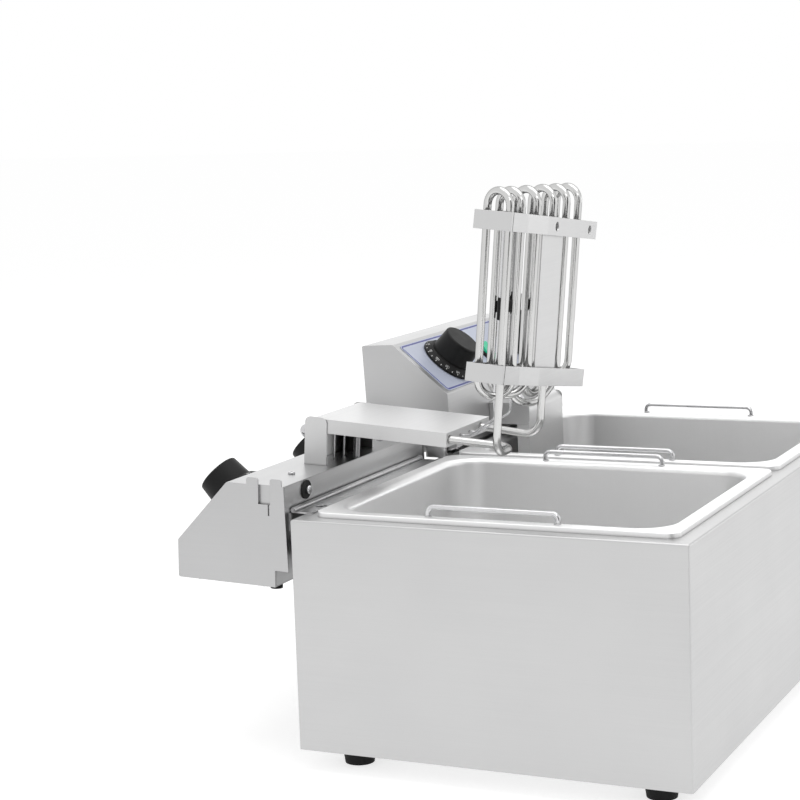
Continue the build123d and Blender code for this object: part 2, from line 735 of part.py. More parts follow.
def rocker():
    """The green rocker, resting on its lower half, with its two pivot pins."""
    half = ROCKER_L / 2
    view = [
        (-half, -ROCKER_SKIRT),
        (-half, ROCKER_RISE),
        (0, ROCKER_VALLEY),
        (half, ROCKER_RISE),
        (half, -ROCKER_SKIRT),
        (half / 3, -ROCKER_KEEL),
        (-half / 3, -ROCKER_KEEL),
    ]
    across = Plane(origin=(0, 0, 0), x_dir=(0, 1, 0), z_dir=(1, 0, 0))
    cap = extrude(across * make_face(Polyline(*view, close=True)), amount=ROCKER_W / 2, both=True)
    pin = ROCKER_W / 2 + ROCKER_PIN_OUT
    cap += rod((-pin, 0, 0), (pin, 0, 0), ROCKER_PIN_R)
    return TILT * (on_panel(ROCKER_X, ROCKER_S) * Pos(0, 0, LABEL_T) * Rot(X=ROCKER_TILT) * cap)


def plunger_rod(v0, v1, radius):
    """A round bar along v on the safety plunger's axis."""
    y = HINGE_U - PLUNGER_U
    return rod((PLUNGER_X, y, v0 + HINGE_DROP), (PLUNGER_X, y, v1 + HINGE_DROP), radius)


def collar_low():
    """Where the plunger's collar rests on the grommet, above the bottom plate's lower face."""
    return HEAD_SHEET + GROMMET_FLANGE + FIT


def plunger():
    """The pin under the head that feels the deck, with the collar that keeps it in."""
    bar = plunger_rod(-PLUNGER_OUT, collar_low() + PLUNGER_COLLAR_T + PLUNGER_TAIL, PLUNGER_R)
    bar = fillet(bar.faces().sort_by(Axis.Z)[0].edges(), PLUNGER_TIP_R)
    bar += plunger_rod(collar_low(), collar_low() + PLUNGER_COLLAR_T, PLUNGER_COLLAR_R)
    return TILT * bar


def grommet():
    """The black bush that guides the plunger through the bottom plate, and the sleeves round the legs."""
    ring = plunger_rod(-GROMMET_FLANGE, 0, GROMMET_R)
    ring += plunger_rod(0, HEAD_SHEET, GROMMET_NECK_R)
    ring += plunger_rod(HEAD_SHEET, HEAD_SHEET + GROMMET_FLANGE, GROMMET_R)
    ring -= plunger_rod(-HEAD_H, HEAD_H, PLUNGER_R + FIT)
    return Compound(children=[TILT * ring] + [sleeve(x, r) for x, r in zip(LEG_X, SLEEVE_R)])


def sleeve(x, radius):
    """The sleeve round one of the element's legs, from the head's front to its bend in the bridge."""
    tube = rod((x, 0, LEG_INLET_W), (x, -SLEEVE_F, LEG_INLET_W), radius)
    tube -= rod((x, 1, LEG_INLET_W), (x, -SLEEVE_F - 1, LEG_INLET_W), TUBE_R + FIT)
    return tube - TILT * head_span(-HEAD_L, HEAD_L, -HEAD_D, HEAD_D, -HEAD_H, HEAD_H)


def microswitch():
    """The switch above the plunger, on the inside of the head's front."""
    front = HEAD_D - HEAD_SHEET
    low = collar_low() + PLUNGER_COLLAR_T + PLUNGER_TAIL + PLUNGER_TRAVEL + MICROSWITCH_GAP
    half = MICROSWITCH_L / 2
    body = head_span(
        PLUNGER_X - half, PLUNGER_X + half, front - MICROSWITCH_D, front, low, low + MICROSWITCH_H
    )
    return TILT * body


# Fittings of the head


def limiter():
    """The over-temperature limiter on the inside of the head's back."""
    return TILT * head_rod(LIMITER_X, HEAD_SHEET, HEAD_SHEET + LIMITER_DEPTH, LIMITER_V, LIMITER_R)


def terminal_block():
    """The terminal block on the bottom plate."""
    x0 = TERMINAL_X - TERMINAL_L / 2
    u0 = TERMINAL_U - TERMINAL_D / 2
    block = head_span(x0, x0 + TERMINAL_L, u0, u0 + TERMINAL_D, HEAD_SHEET, HEAD_SHEET + TERMINAL_H)
    return TILT * block


def cable_gland():
    """The gland in the head's back that the mains cord comes out of."""
    z = GLAND_V + HINGE_DROP
    y = HINGE_U
    gland = hexagon((GLAND_X, y, z), (GLAND_X, y + GLAND_FLANGE, z), GLAND_R)
    gland += head_rod(GLAND_X, -GLAND_OUT, HEAD_SHEET + GLAND_NUT_T, GLAND_V, GLAND_NECK_R)
    inside = y - HEAD_SHEET
    gland += hexagon((GLAND_X, inside, z), (GLAND_X, inside - GLAND_NUT_T, z), GLAND_R)
    gland -= head_rod(GLAND_X, -GLAND_OUT - 1, HEAD_SHEET + GLAND_NUT_T + 1, GLAND_V, GLAND_BORE_R)
    return TILT * gland


def bumpers():
    """Rubber bumpers on the head's back, with their plugs."""
    pieces = []
    for x in (-BUMPER_X, BUMPER_X):
        bumper = head_rod(x, -BUMPER_T, 0, BUMPER_V, BUMPER_R)
        bumper += head_rod(x, 0, HEAD_SHEET, BUMPER_V, PAN_SHANK_R)
        pieces.append(TILT * bumper)
    return Compound(children=pieces)


def head_screws():
    """Pan-head screws on the head's front and back."""
    pieces = []
    for x, v in front_screw_places():
        screw = pan_head(head_rod(x, HEAD_D, HEAD_D + PAN_H, v, PAN_R), Axis.Y, 0)
        pieces.append(screw + head_rod(x, HEAD_D - PAN_SHANK_L, HEAD_D, v, PAN_SHANK_R))
    for x, v in back_screw_places():
        screw = pan_head(head_rod(x, 0, -PAN_H, v, PAN_R), Axis.Y, -1)
        pieces.append(screw + head_rod(x, 0, PAN_SHANK_L, v, PAN_SHANK_R))
    return Compound(children=[TILT * piece for piece in pieces])


def pan_head(disc, axis, index):
    """Rounds the outer edge of a screw's head."""
    return fillet(disc.faces().sort_by(axis)[index].edges(), PAN_H / 2)


# Arm


def arm_outline(inset):
    """The arm's side view, drawn in by the sheet's thickness for its inside."""
    front = ARM_FRONT - inset
    back = ARM_BACK + inset
    top = BRIDGE_TOP - inset
    under = BRIDGE_BOTTOM + inset
    bottom = ARM_BOTTOM + inset
    corners = [(0, top), (front, top), (front, bottom), (back, bottom), (back, under), (0, under)]
    face = make_face(Polyline(*corners, close=True))
    corner = face.vertices().sort_by_distance((front, top))[0]
    return fillet(corner, BRIDGE_R - inset)


def arm():
    """The bridge from the head's front, open below, and the flat hollow arm that hangs from it."""
    half = ARM_W / 2
    inside = half - ARM_SHEET
    body = extrude(ARM_SIDE * arm_outline(0), amount=half, both=True)
    body -= extrude(ARM_SIDE * arm_outline(ARM_SHEET), amount=inside, both=True)
    body -= span(-inside, inside, -ARM_BACK, 0, BRIDGE_BOTTOM - 1, BRIDGE_BOTTOM + 2 * ARM_SHEET)
    body += Pos(-half, 0, 0) * cheek(CHEEK_PAST)
    body += Pos(half + CHEEK_T, 0, 0) * cheek(0)
    body = Pos(ARM_X, 0, 0) * body
    holes = [(x, TUBE_R + LEG_HOLE_GAP) for x in LEG_X]
    holes += [(x, CAPILLARY_R + CAPILLARY_HOLE_GAP) for x in CAPILLARY_EXIT_X]
    for x, radius in holes:
        body -= rod((x, -LEG_F, ARM_BOTTOM - 1), (x, -LEG_F, ARM_BOTTOM + 2 * ARM_SHEET), radius)
    x, y = dome_place()
    body -= rod((x, y, BRIDGE_TOP + 1), (x, y, BRIDGE_TOP - 2 * ARM_SHEET), SCREW_R + FIT)
    body = ARM_SET * body
    body -= TILT * head_span(-HEAD_L, HEAD_L, -HEAD_D, HEAD_D, -HEAD_H, HEAD_H)
    body -= rod((ARM_X, -ARM_BACK + 1, STUD_W), (ARM_X, -ARM_BACK - 2 * ARM_SHEET, STUD_W), STUD_R + FIT)
    return body


def cheek(past):
    """A plate over one end of the bridge, which may stand a little proud of the arm's front."""
    front = ARM_FRONT + past
    middle = Pos(front / 2, (BRIDGE_TOP + BRIDGE_BOTTOM) / 2)
    face = middle * Rectangle(front, BRIDGE_TOP - BRIDGE_BOTTOM)
    corners = face.vertices().filter_by_position(Axis.X, front - 1, front + 1)
    return extrude(ARM_SIDE * fillet(corners, CHEEK_R), amount=CHEEK_T)


def dome_place():
    """Where the domed bolt stands on the bridge."""
    return (ARM_X - ARM_W / 2 + DOME_IN, DOME_BACK - ARM_FRONT)


def arm_bolts():
    """The domed bolt on the bridge, and the stud with its nut between the arm and the head."""
    x, y = dome_place()
    low = BRIDGE_TOP
    dome = rod((x, y, low), (x, y, low + DOME_H), DOME_R)
    dome = fillet(dome.faces().sort_by(Axis.Z)[-1].edges(), DOME_H - DOME_FLANGE)
    dome += rod((x, y, low), (x, y, low - 2 * ARM_SHEET), SCREW_R)
    _, face, _ = box_point(0, HEAD_D, STUD_W)
    stud = rod((ARM_X, face + STUD_INSIDE, STUD_W), (ARM_X, -ARM_BACK - STUD_INSIDE, STUD_W), STUD_R)
    nut = hexagon((ARM_X, -ARM_BACK, STUD_W), (ARM_X, STUD_NUT_T - ARM_BACK, STUD_W), STUD_NUT_R)
    return Compound(children=[ARM_SET * dome, stud + ARM_SET * nut])


# Heating element


def hairpin_x(i):
    """The middle of a hairpin along X, counted from 0 at the left."""
    return ELEMENT_X + HAIRPIN_X[i]


def tip(i):
    """How far forward a hairpin's runs go before their front turn."""
    return RUN_FRONT - TIP_STEP * i


def upper(i):
    """The place of a hairpin's upper run, as x and w."""
    return (hairpin_x(i) + ROW_STAGGER / 2, ROW_UP)


def lower(i):
    """The place of a hairpin's lower run, as x and w."""
    return (hairpin_x(i) - ROW_STAGGER / 2, ROW_LOW)


def bend(start, end, f, way):
    """A half turn between two runs at f, bulging forward for way 1 and back for way -1."""
    (x0, w0), (x1, w1) = start, end
    radius = hypot(x1 - x0, w1 - w0) / 2
    first = Vector(x0, -f, w0)
    crown = Vector((x0 + x1) / 2, -f - way * radius, (w0 + w1) / 2)
    last = Vector(x1, -f, w1)
    return ThreePointArc(first, crown, last)


def run(place, start, end):
    """A straight run at an x and w between two places along f."""
    x, w = place
    return Line((x, -start, w), (x, -end, w))


def element_path():
    """One tube from leg to leg: a front turn at each hairpin and a back turn between hairpins."""
    first = HAIRPIN_ORDER[0]
    last = HAIRPIN_ORDER[-1]
    turns = [(lower(i), upper(i), tip(i)) for i in HAIRPIN_ORDER[:-1]]
    turns.append((upper(last), lower(last), tip(last)))
    edges = []
    for n, (out, home, front) in enumerate(turns):
        if n:
            edges.append(bend(turns[n - 1][1], out, RUN_BACK, -1))
            edges.append(run(out, RUN_BACK, front))
        edges.append(bend(out, home, front, 1))
        if n + 1 < len(turns):
            edges.append(run(home, front, RUN_BACK))
    inlet = leg_path(LEG_X[0], lower(first), tip(first))
    outlet = leg_path(LEG_X[1], lower(last), tip(last))
    return Wire(inlet.edges() + [RUN_SET * edge for edge in edges] + outlet.edges())


def leg_path(exit_x, place, front):
    """A leg from inside the head, through the arm and along to a lower run's front end.

    A leg far from its run goes straight on to the row and then across; one close to it slants over.
    """
    x, w = place
    if abs(exit_x - x) > 2 * ELBOW_R:
        turn = (RUN_SET * Pos(exit_x, -LEG_F, w)).position
        turn_r = ELBOW_R
    else:
        turn = (ARM_SET * Pos(exit_x, -LEG_F, ARM_BOTTOM - LEG_STRAIGHT)).position
        turn_r = LEG_BEND_R
    points = [
        (exit_x, -LEG_INLET_F, LEG_INLET_W),
        (exit_x, -LEG_F, LEG_INLET_W),
        turn,
        (RUN_SET * Pos(x, -LEG_F, w)).position,
        (RUN_SET * Pos(x, -front, w)).position,
    ]
    return FilletPolyline(*points, radius=[LEG_BEND_R, turn_r, ELBOW_R])


def element():
    """The heating tube."""
    start = Plane(origin=(LEG_X[0], -LEG_INLET_F, LEG_INLET_W), z_dir=(0, -1, 0))
    return sweep(start * Circle(TUBE_R), path=element_path())


# Clamps, guard and sensors


def clamp_left():
    """The inner face of a clamp's left wall."""
    return lower(0)[0] - TUBE_R - CLAMP_MARGIN


def clamp_right():
    """The inner face of a clamp's right wall."""
    return upper(len(HAIRPIN_X) - 1)[0] + TUBE_R + CLAMP_MARGIN


def clamp(tail):
    """A band round all the runs, with a tongue between the rows and a tail that stands off below."""
    high = ROW_UP + TUBE_R + FIT
    low = ROW_LOW - TUBE_R - FIT
    x0 = clamp_left()
    x1 = clamp_right()
    half = CLAMP_W / 2
    band = span(x0 - CLAMP_T, x0, -half, half, low - CLAMP_T, high + CLAMP_LIP)
    band += span(x0 - CLAMP_T, x1 + CLAMP_T, -half, half, high, high + CLAMP_T)
    band += span(x1, x1 + CLAMP_T, -half, half, low - CLAMP_DROP - CLAMP_T, high + CLAMP_T)
    tongue = hairpin_x(BULB_INDEX[-1]) + BULB_R + TONGUE_PAST
    band += span(x0 - CLAMP_T, tongue, -half, half, ROW_MID - CLAMP_T / 2, ROW_MID + CLAMP_T / 2)
    turn = x0 + CLAMP_FLAT
    stand = turn + CLAMP_RAMP
    end = x1 + tail
    strip = [
        (x0 - CLAMP_T, low),
        (turn, low),
        (stand, low - CLAMP_DROP),
        (end, low - CLAMP_DROP),
        (end, low - CLAMP_DROP - CLAMP_T),
        (stand - CLAMP_T / 2, low - CLAMP_DROP - CLAMP_T),
        (turn - CLAMP_T / 2, low - CLAMP_T),
        (x0 - CLAMP_T, low - CLAMP_T),
    ]
    view = Plane(origin=(0, 0, 0), x_dir=(1, 0, 0), z_dir=(0, -1, 0))
    return band + extrude(view * make_face(Polyline(*strip, close=True)), amount=half, both=True)


def clamp_holes():
    """The two holes in the front clamp's tail."""
    end = clamp_right() + CLAMP_FRONT_TAIL
    tail = ROW_LOW - TUBE_R - FIT - CLAMP_DROP
    places = (end - CLAMP_HOLE_IN, end - CLAMP_HOLE_IN - CLAMP_HOLE_PITCH)
    return [rod((x, 0, tail + 1), (x, 0, tail - 2 * CLAMP_T), CLAMP_HOLE_R) for x in places]


def on_element(f, tilt):
    """The place of a clamp at f on the runs, turned a little askew."""
    return RUN_SET * Pos(ELEMENT_X, -f, 0) * Rot(Z=tilt) * Pos(-ELEMENT_X, 0, 0)


def clamps():
    """The back clamp, and the front clamp with its holes."""
    back = on_element(CLAMP_BACK, CLAMP_BACK_TILT) * clamp(CLAMP_BACK_TAIL)
    front = clamp(CLAMP_FRONT_TAIL)
    for hole in clamp_holes():
        front -= hole
    return Compound(children=[back, on_element(CLAMP_FRONT, CLAMP_FRONT_TILT) * front])


def guard_plate():
    """A flat plate under the lower row, with a foot on each clamp."""
    high = ROW_LOW - TUBE_R - FIT
    foot_low = high - CLAMP_DROP + FIT
    x0 = GUARD_X - GUARD_W / 2
    x1 = GUARD_X + GUARD_W / 2
    back = -CLAMP_BACK + GUARD_PAST
    front = -CLAMP_FRONT - GUARD_PAST
    plate = span(x0, x1, front, back, high - FIT - GUARD_T, high - FIT)
    foot_x = x1 - GUARD_FOOT_IN
    for y in (back, front + GUARD_FOOT_D):
        plate += span(foot_x - GUARD_FOOT_W, foot_x, y - GUARD_FOOT_D, y, foot_low, high - FIT)
    return RUN_SET * plate


def sensors():
    """Two sensor bulbs on the clamps' tongues, with capillaries through the arm to the head."""
    w = ROW_MID + CLAMP_T / 2 + BULB_R + FIT
    pieces = []
    for index, exit_x in zip(BULB_INDEX, CAPILLARY_EXIT_X):
        x = hairpin_x(index)
        bulb = RUN_SET * rod((x, -BULB_BACK, w), (x, -BULB_BACK - BULB_L, w), BULB_R)
        start = RUN_SET * Plane(origin=(x, -BULB_BACK, w), z_dir=(0, 1, 0))
        points = [
            start.origin,
            (RUN_SET * Pos(x, -CAPILLARY_TURN, w)).position,
            (ARM_SET * Pos(exit_x, -LEG_F, ARM_BOTTOM - LEG_STRAIGHT)).position,
            (exit_x, -LEG_F, CAPILLARY_INLET_W),
            (exit_x, -LEG_INLET_F, CAPILLARY_INLET_W),
        ]
        path = FilletPolyline(*points, radius=CAPILLARY_BEND_R)
        pieces.append(bulb + sweep(start * Circle(CAPILLARY_R), path=path))
    return Compound(children=pieces)


# Whole fryer

HEAD_PIECES = {
    "casing": head_casing,
    "side_plates": side_plates,
    "bottom_plate": head_bottom,
    "hinge_leaf": moving_leaf,
    "label_plate": label_plate,
    "knob": knob,
    "timer_knob": timer_knob,
    "regulators": regulators,
    "switch_housing": switch_housing,
    "rocker": rocker,
    "plunger": plunger,
    "grommet": grommet,
    "microswitch": microswitch,
    "limiter": limiter,
    "terminal_block": terminal_block,
    "cable_gland": cable_gland,
    "bumpers": bumpers,
    "screws": head_screws,
    "arm": arm,
    "arm_bolts": arm_bolts,
    "element": element,
    "clamps": clamps,
    "guard_plate": guard_plate,
    "sensors": sensors,
}


def hinge_axis(side):
    """The place of a head's hinge, with the cabinet's back wall at Y 0."""
    return Pos(side * TANK_PITCH / 2, HINGE_BEHIND, HINGE_Z)


def build():
    """All pieces by name, with the cabinet's back wall at Y 0."""
    pieces = {
        "cabinet_shell": cabinet_shell(),
        "base_plate": base_plate(),
        "inner_support": inner_support(),
        "rubber_feet": rubber_feet(),
        "foot_screws": foot_screws(),
        "stop_buffers": stop_buffers(),
        "tank_handles": tank_handles(),
        "hinge_fixed_leaves": Compound(children=[hinge_axis(side) * fixed_leaf() for side in (-1, 1)]),
        "hinge_pins": Compound(children=[hinge_axis(side) * hinge_pin() for side in (-1, 1)]),
    }
    one_tank = Pos(0, tank_middle(), 0) * tank()
    pieces["left_tank"] = Pos(-TANK_PITCH / 2, 0, 0) * one_tank
    pieces["right_tank"] = Pos(TANK_PITCH / 2, 0, 0) * one_tank
    for name, make in HEAD_PIECES.items():
        piece = make()
        leaf = TILT * piece if name == "hinge_leaf" else piece
        pieces["left_" + name] = hinge_axis(-1) * Rot(X=-HEAD_LIFT) * leaf
        pieces["right_" + name] = hinge_axis(1) * leaf
    return pieces


def main():
    os.makedirs("parts", exist_ok=True)
    pieces = build()
    boxes = [piece.bounding_box() for piece in pieces.values()]
    front = min(box.min.Y for box in boxes)
    back = max(box.max.Y for box in boxes)
    centre = Pos(0, -(front + back) / 2, 0)
    for name, piece in pieces.items():
        export_step(centre * piece, os.path.join("parts", name + ".step"))
    print("back wall at Y", -(front + back) / 2)
    print("hinge axis at Y", HINGE_BEHIND - (front + back) / 2, "Z", HINGE_Z)


main()
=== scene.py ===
"""Looks for a countertop twin fryer: finishes, printed label, dial scales, fittings, light and camera."""

import json
import logging
import math
from dataclasses import dataclass, field
from enum import Enum
from typing import Callable, Iterable

import bmesh
import bpy
from mathutils import Matrix, Vector


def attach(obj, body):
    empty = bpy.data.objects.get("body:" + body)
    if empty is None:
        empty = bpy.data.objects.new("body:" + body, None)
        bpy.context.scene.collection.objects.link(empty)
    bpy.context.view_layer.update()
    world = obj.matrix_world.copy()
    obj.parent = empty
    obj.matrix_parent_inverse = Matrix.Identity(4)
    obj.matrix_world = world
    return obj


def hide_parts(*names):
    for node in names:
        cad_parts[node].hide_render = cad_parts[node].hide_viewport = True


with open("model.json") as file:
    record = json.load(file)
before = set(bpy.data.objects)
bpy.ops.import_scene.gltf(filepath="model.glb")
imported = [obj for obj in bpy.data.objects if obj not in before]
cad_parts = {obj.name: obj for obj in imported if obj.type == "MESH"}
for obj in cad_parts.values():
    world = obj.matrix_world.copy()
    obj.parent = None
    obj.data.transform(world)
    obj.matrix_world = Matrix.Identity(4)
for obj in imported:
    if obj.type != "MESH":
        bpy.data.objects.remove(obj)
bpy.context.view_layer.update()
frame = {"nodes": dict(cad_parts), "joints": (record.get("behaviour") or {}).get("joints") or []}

LOG = logging.getLogger("fryer")
MM = 0.001
Colour = tuple[float, float, float]
Triple = tuple[float, float, float]
Piece = bpy.types.Object
Material = bpy.types.Material
Tree = bpy.types.NodeTree
Node = bpy.types.Node
Socket = bpy.types.NodeSocket


class Side(Enum):
    """Which of the two fryers a piece belongs to, as the cook sees them."""

    LEFT = "left"
    RIGHT = "right"


class Rolling(Enum):
    """How the fine lines of the steel run: the scale of the grain along X, Y and Z."""

    LEVEL = (6.0, 6.0, 900.0)
    UPRIGHT = (700.0, 700.0, 5.0)
    ACROSS = (5.0, 700.0, 700.0)
    DRAWN = (220.0, 220.0, 60.0)


# Shader groups

NOISE_MIDDLE = (0.3, 0.7)
NOISE_PEAKS = (0.62, 0.78)
SPECKS_PER_CLOUD = 30.0
# How open a spot must be before the painted gap shade fades out.
OPEN_SHARE = (0.25, 0.85)


class Wiring:
    """Adds nodes to one tree and joins them."""

    def __init__(self, tree: Tree) -> None:
        """Keeps the tree that the nodes go into."""
        self.tree = tree

    def add(self, kind: str, **settings: object) -> Node:
        """Adds a node and sets its plain properties.

        Args:
            kind: The node's type name.
            settings: Properties of the node.

        Returns:
            The new node.
        """
        node = self.tree.nodes.new(kind)
        for key, value in settings.items():
            setattr(node, key, value)
        return node

    def feed(self, node: Node, socket: str | int, source: object) -> None:
        """Gives an input a number, a colour, or another node's output.

        Args:
            node: The node that is fed.
            socket: The input's name or place.
            source: An output socket or a plain value.
        """
        target = node.inputs[socket]
        if isinstance(source, Socket):
            self.tree.links.new(source, target)
        else:
            target.default_value = source

    def maths(self, operation: str, a: object, b: object = 0.0) -> Socket:
        """Adds one Math node.

        Args:
            operation: The operation's name.
            a: The first operand.
            b: The second operand.

        Returns:
            The node's output.
        """
        node = self.add("ShaderNodeMath", operation=operation)
        self.feed(node, 0, a)
        self.feed(node, 1, b)
        return node.outputs[0]

    def noise(self, vector: object, scale: float, detail: float) -> Socket:
        """Adds a noise texture.

        Args:
            vector: Where it is read.
            scale: How fine it is.
            detail: How many octaves it has.

        Returns:
            The noise value, from 0 to 1.
        """
        node = self.add("ShaderNodeTexNoise")
        self.feed(node, "Vector", vector)
        self.feed(node, "Scale", scale)
        self.feed(node, "Detail", detail)
        return node.outputs["Fac"]

    def ramp(self, value: object, low: float, high: float, start: float, end: float) -> Socket:
        """Maps a value from one range to another, clamped.

        Args:
            value: The value that is mapped.
            low: The lower end of its range.
            high: The upper end of its range.
            start: What the lower end becomes.
            end: What the upper end becomes.

        Returns:
            The mapped value.
        """
        node = self.add("ShaderNodeMapRange")
        for socket, given in zip(range(5), (value, low, high, start, end)):
            self.feed(node, socket, given)
        return node.outputs["Result"]

    def blend(self, factor: object, first: object, second: object) -> Socket:
        """Mixes two colours.

        Args:
            factor: The share of the second colour.
            first: The first colour.
            second: The second colour.

        Returns:
            The mixed colour.
        """
        node = self.add("ShaderNodeMix", data_type="RGBA")
        self.feed(node, 0, factor)
        self.feed(node, 6, first)
        self.feed(node, 7, second)
        return node.outputs[2]

    def group(self, tree: Tree, **values: object) -> Node:
        """Places a node group and feeds its inputs.

        Args:
            tree: The group.
            values: Inputs by name, with _ for a space.

        Returns:
            The group node.
        """
        node = self.add("ShaderNodeGroup", node_tree=tree)
        for key, value in values.items():
            self.feed(node, key.replace("_", " "), value)
        return node


def new_group(
    name: str, inputs: dict[str, str], outputs: dict[str, str]
) -> tuple[Wiring, bpy.types.NodeOutputs, Node]:
    """Makes a shader node group with named sockets and nothing between them.

    Args:
        name: The group's name.
        inputs: Socket types by input name, such as Float for NodeSocketFloat.
        outputs: Socket types by output name.

    Returns:
        The group's wiring, what comes in and the node that it leaves by.
    """
    tree = bpy.data.node_groups.new(name, "ShaderNodeTree")
    for way, sockets in (("INPUT", inputs), ("OUTPUT", outputs)):
        for label, kind in sockets.items():
            tree.interface.new_socket(name=label, in_out=way, socket_type="NodeSocket" + kind)
    wires = Wiring(tree)
    entry = wires.add("NodeGroupInput")
    return wires, entry.outputs, wires.add("NodeGroupOutput")


def make_grain_group() -> Tree:
    """Fine rolling or brushing lines.

    Returns:
        The group, which puts out Lines from 0 to 1.
    """
    wires, entry, leave = new_group(
        "sheet_grain", {"Vector": "Vector", "Stretch": "Vector"}, {"Lines": "Float"}
    )
    stretched = wires.add("ShaderNodeVectorMath", operation="MULTIPLY")
    wires.feed(stretched, 0, entry["Vector"])
    wires.feed(stretched, 1, entry["Stretch"])
    fine = wires.noise(stretched.outputs[0], 1.0, 3.0)
    wires.feed(leave, "Lines", wires.ramp(fine, *NOISE_MIDDLE, 0.0, 1.0))
    return wires.tree


def make_handling_group() -> Tree:
    """Soft clouds, as on sheet that was wiped and handled.

    Returns:
        The group, which puts out Clouds and Specks from 0 to 1.
    """
    wires, entry, leave = new_group(
        "handling", {"Vector": "Vector", "Size": "Float"}, {"Clouds": "Float", "Specks": "Float"}
    )
    scale = wires.maths("DIVIDE", 1.0, entry["Size"])
    clouds = wires.noise(entry["Vector"], scale, 2.0)
    specks = wires.noise(entry["Vector"], wires.maths("MULTIPLY", scale, SPECKS_PER_CLOUD), 2.0)
    wires.feed(leave, "Clouds", wires.ramp(clouds, *NOISE_MIDDLE, 0.0, 1.0))
    wires.feed(leave, "Specks", wires.ramp(specks, *NOISE_PEAKS, 0.0, 1.0))
    return wires.tree


def make_frame_line_group() -> Tree:
    """A printed line round a rectangle with rounded corners, in the plane of X and Y.

    Returns:
        The group, which puts out Line, 1 on the line.
    """
    sizes = {label: "Float" for label in ("Half Width", "Half Height", "Corner", "Half Line")}
    wires, entry, leave = new_group("frame_line", {"Vector": "Vector", **sizes}, {"Line": "Float"})
    parts = wires.add("ShaderNodeSeparateXYZ")
    wires.feed(parts, 0, entry["Vector"])
    beyond = []
    for axis, half in (("X", "Half Width"), ("Y", "Half Height")):
        away = wires.maths("ABSOLUTE", parts.outputs[axis])
        start = wires.maths("SUBTRACT", entry[half], entry["Corner"])
        beyond.append(wires.maths("SUBTRACT", away, start))
    outer = [wires.maths("MAXIMUM", value, 0.0) for value in beyond]
    squares = [wires.maths("MULTIPLY", value, value) for value in outer]
    round_part = wires.maths("SQRT", wires.maths("ADD", squares[0], squares[1]))
    flat_part = wires.maths("MINIMUM", wires.maths("MAXIMUM", beyond[0], beyond[1]), 0.0)
    reach = wires.maths("ADD", round_part, flat_part)
    distance = wires.maths("ABSOLUTE", wires.maths("SUBTRACT", reach, entry["Corner"]))
    wires.feed(leave, "Line", wires.maths("LESS_THAN", distance, entry["Half Line"]))
    return wires.tree


def make_painted_crevice_shade_group() -> Tree:
    """Painted shade: darkens a colour by ambient occlusion in narrow gaps and along joins.

    Returns:
        The group, which puts out Color.
    """
    wires, entry, leave = new_group(
        "painted_crevice_shade", {"Color": "Color", "Reach": "Float", "Left": "Float"}, {"Color": "Color"}
    )
    shade = wires.add("ShaderNodeAmbientOcclusion", samples=8)
    wires.feed(shade, "Distance", entry["Reach"])
    open_air = wires.ramp(shade.outputs["AO"], *OPEN_SHARE, entry["Left"], 1.0)
    scaled = wires.add("ShaderNodeVectorMath", operation="SCALE")
    wires.feed(scaled, 0, entry["Color"])
    wires.feed(scaled, "Scale", open_air)
    wires.feed(leave, "Color", scaled.outputs[0])
    return wires.tree


@dataclass
class Groups:
    """The shader groups that the finishes share."""

    painted_crevice_shade: Tree = field(default_factory=make_painted_crevice_shade_group)
    grain: Tree = field(default_factory=make_grain_group)
    handling: Tree = field(default_factory=make_handling_group)
    frame_line: Tree = field(default_factory=make_frame_line_group)


# Finishes


def grey(level: float, blue: float = 0.0) -> Colour:
    """A grey with a little more or less blue."""
    return (level, level, level + blue)


def rgba(colour: Colour) -> tuple[float, float, float, float]:
    """The colour with full opacity."""
    return (*colour, 1.0)


def new_material(name: str) -> tuple[Material, Wiring, Node, Socket]:
    """Makes a material with a Principled BSDF and Object coordinates.

    Args:
        name: The material's name.

    Returns:
        The material, its wiring, its shader and the Object coordinate output.
    """
    material = bpy.data.materials.new(name)
    material.use_nodes = True
    wires = Wiring(material.node_tree)
    shader = material.node_tree.nodes["Principled BSDF"]
    place = wires.add("ShaderNodeTexCoord").outputs["Object"]
    return material, wires, shader, place


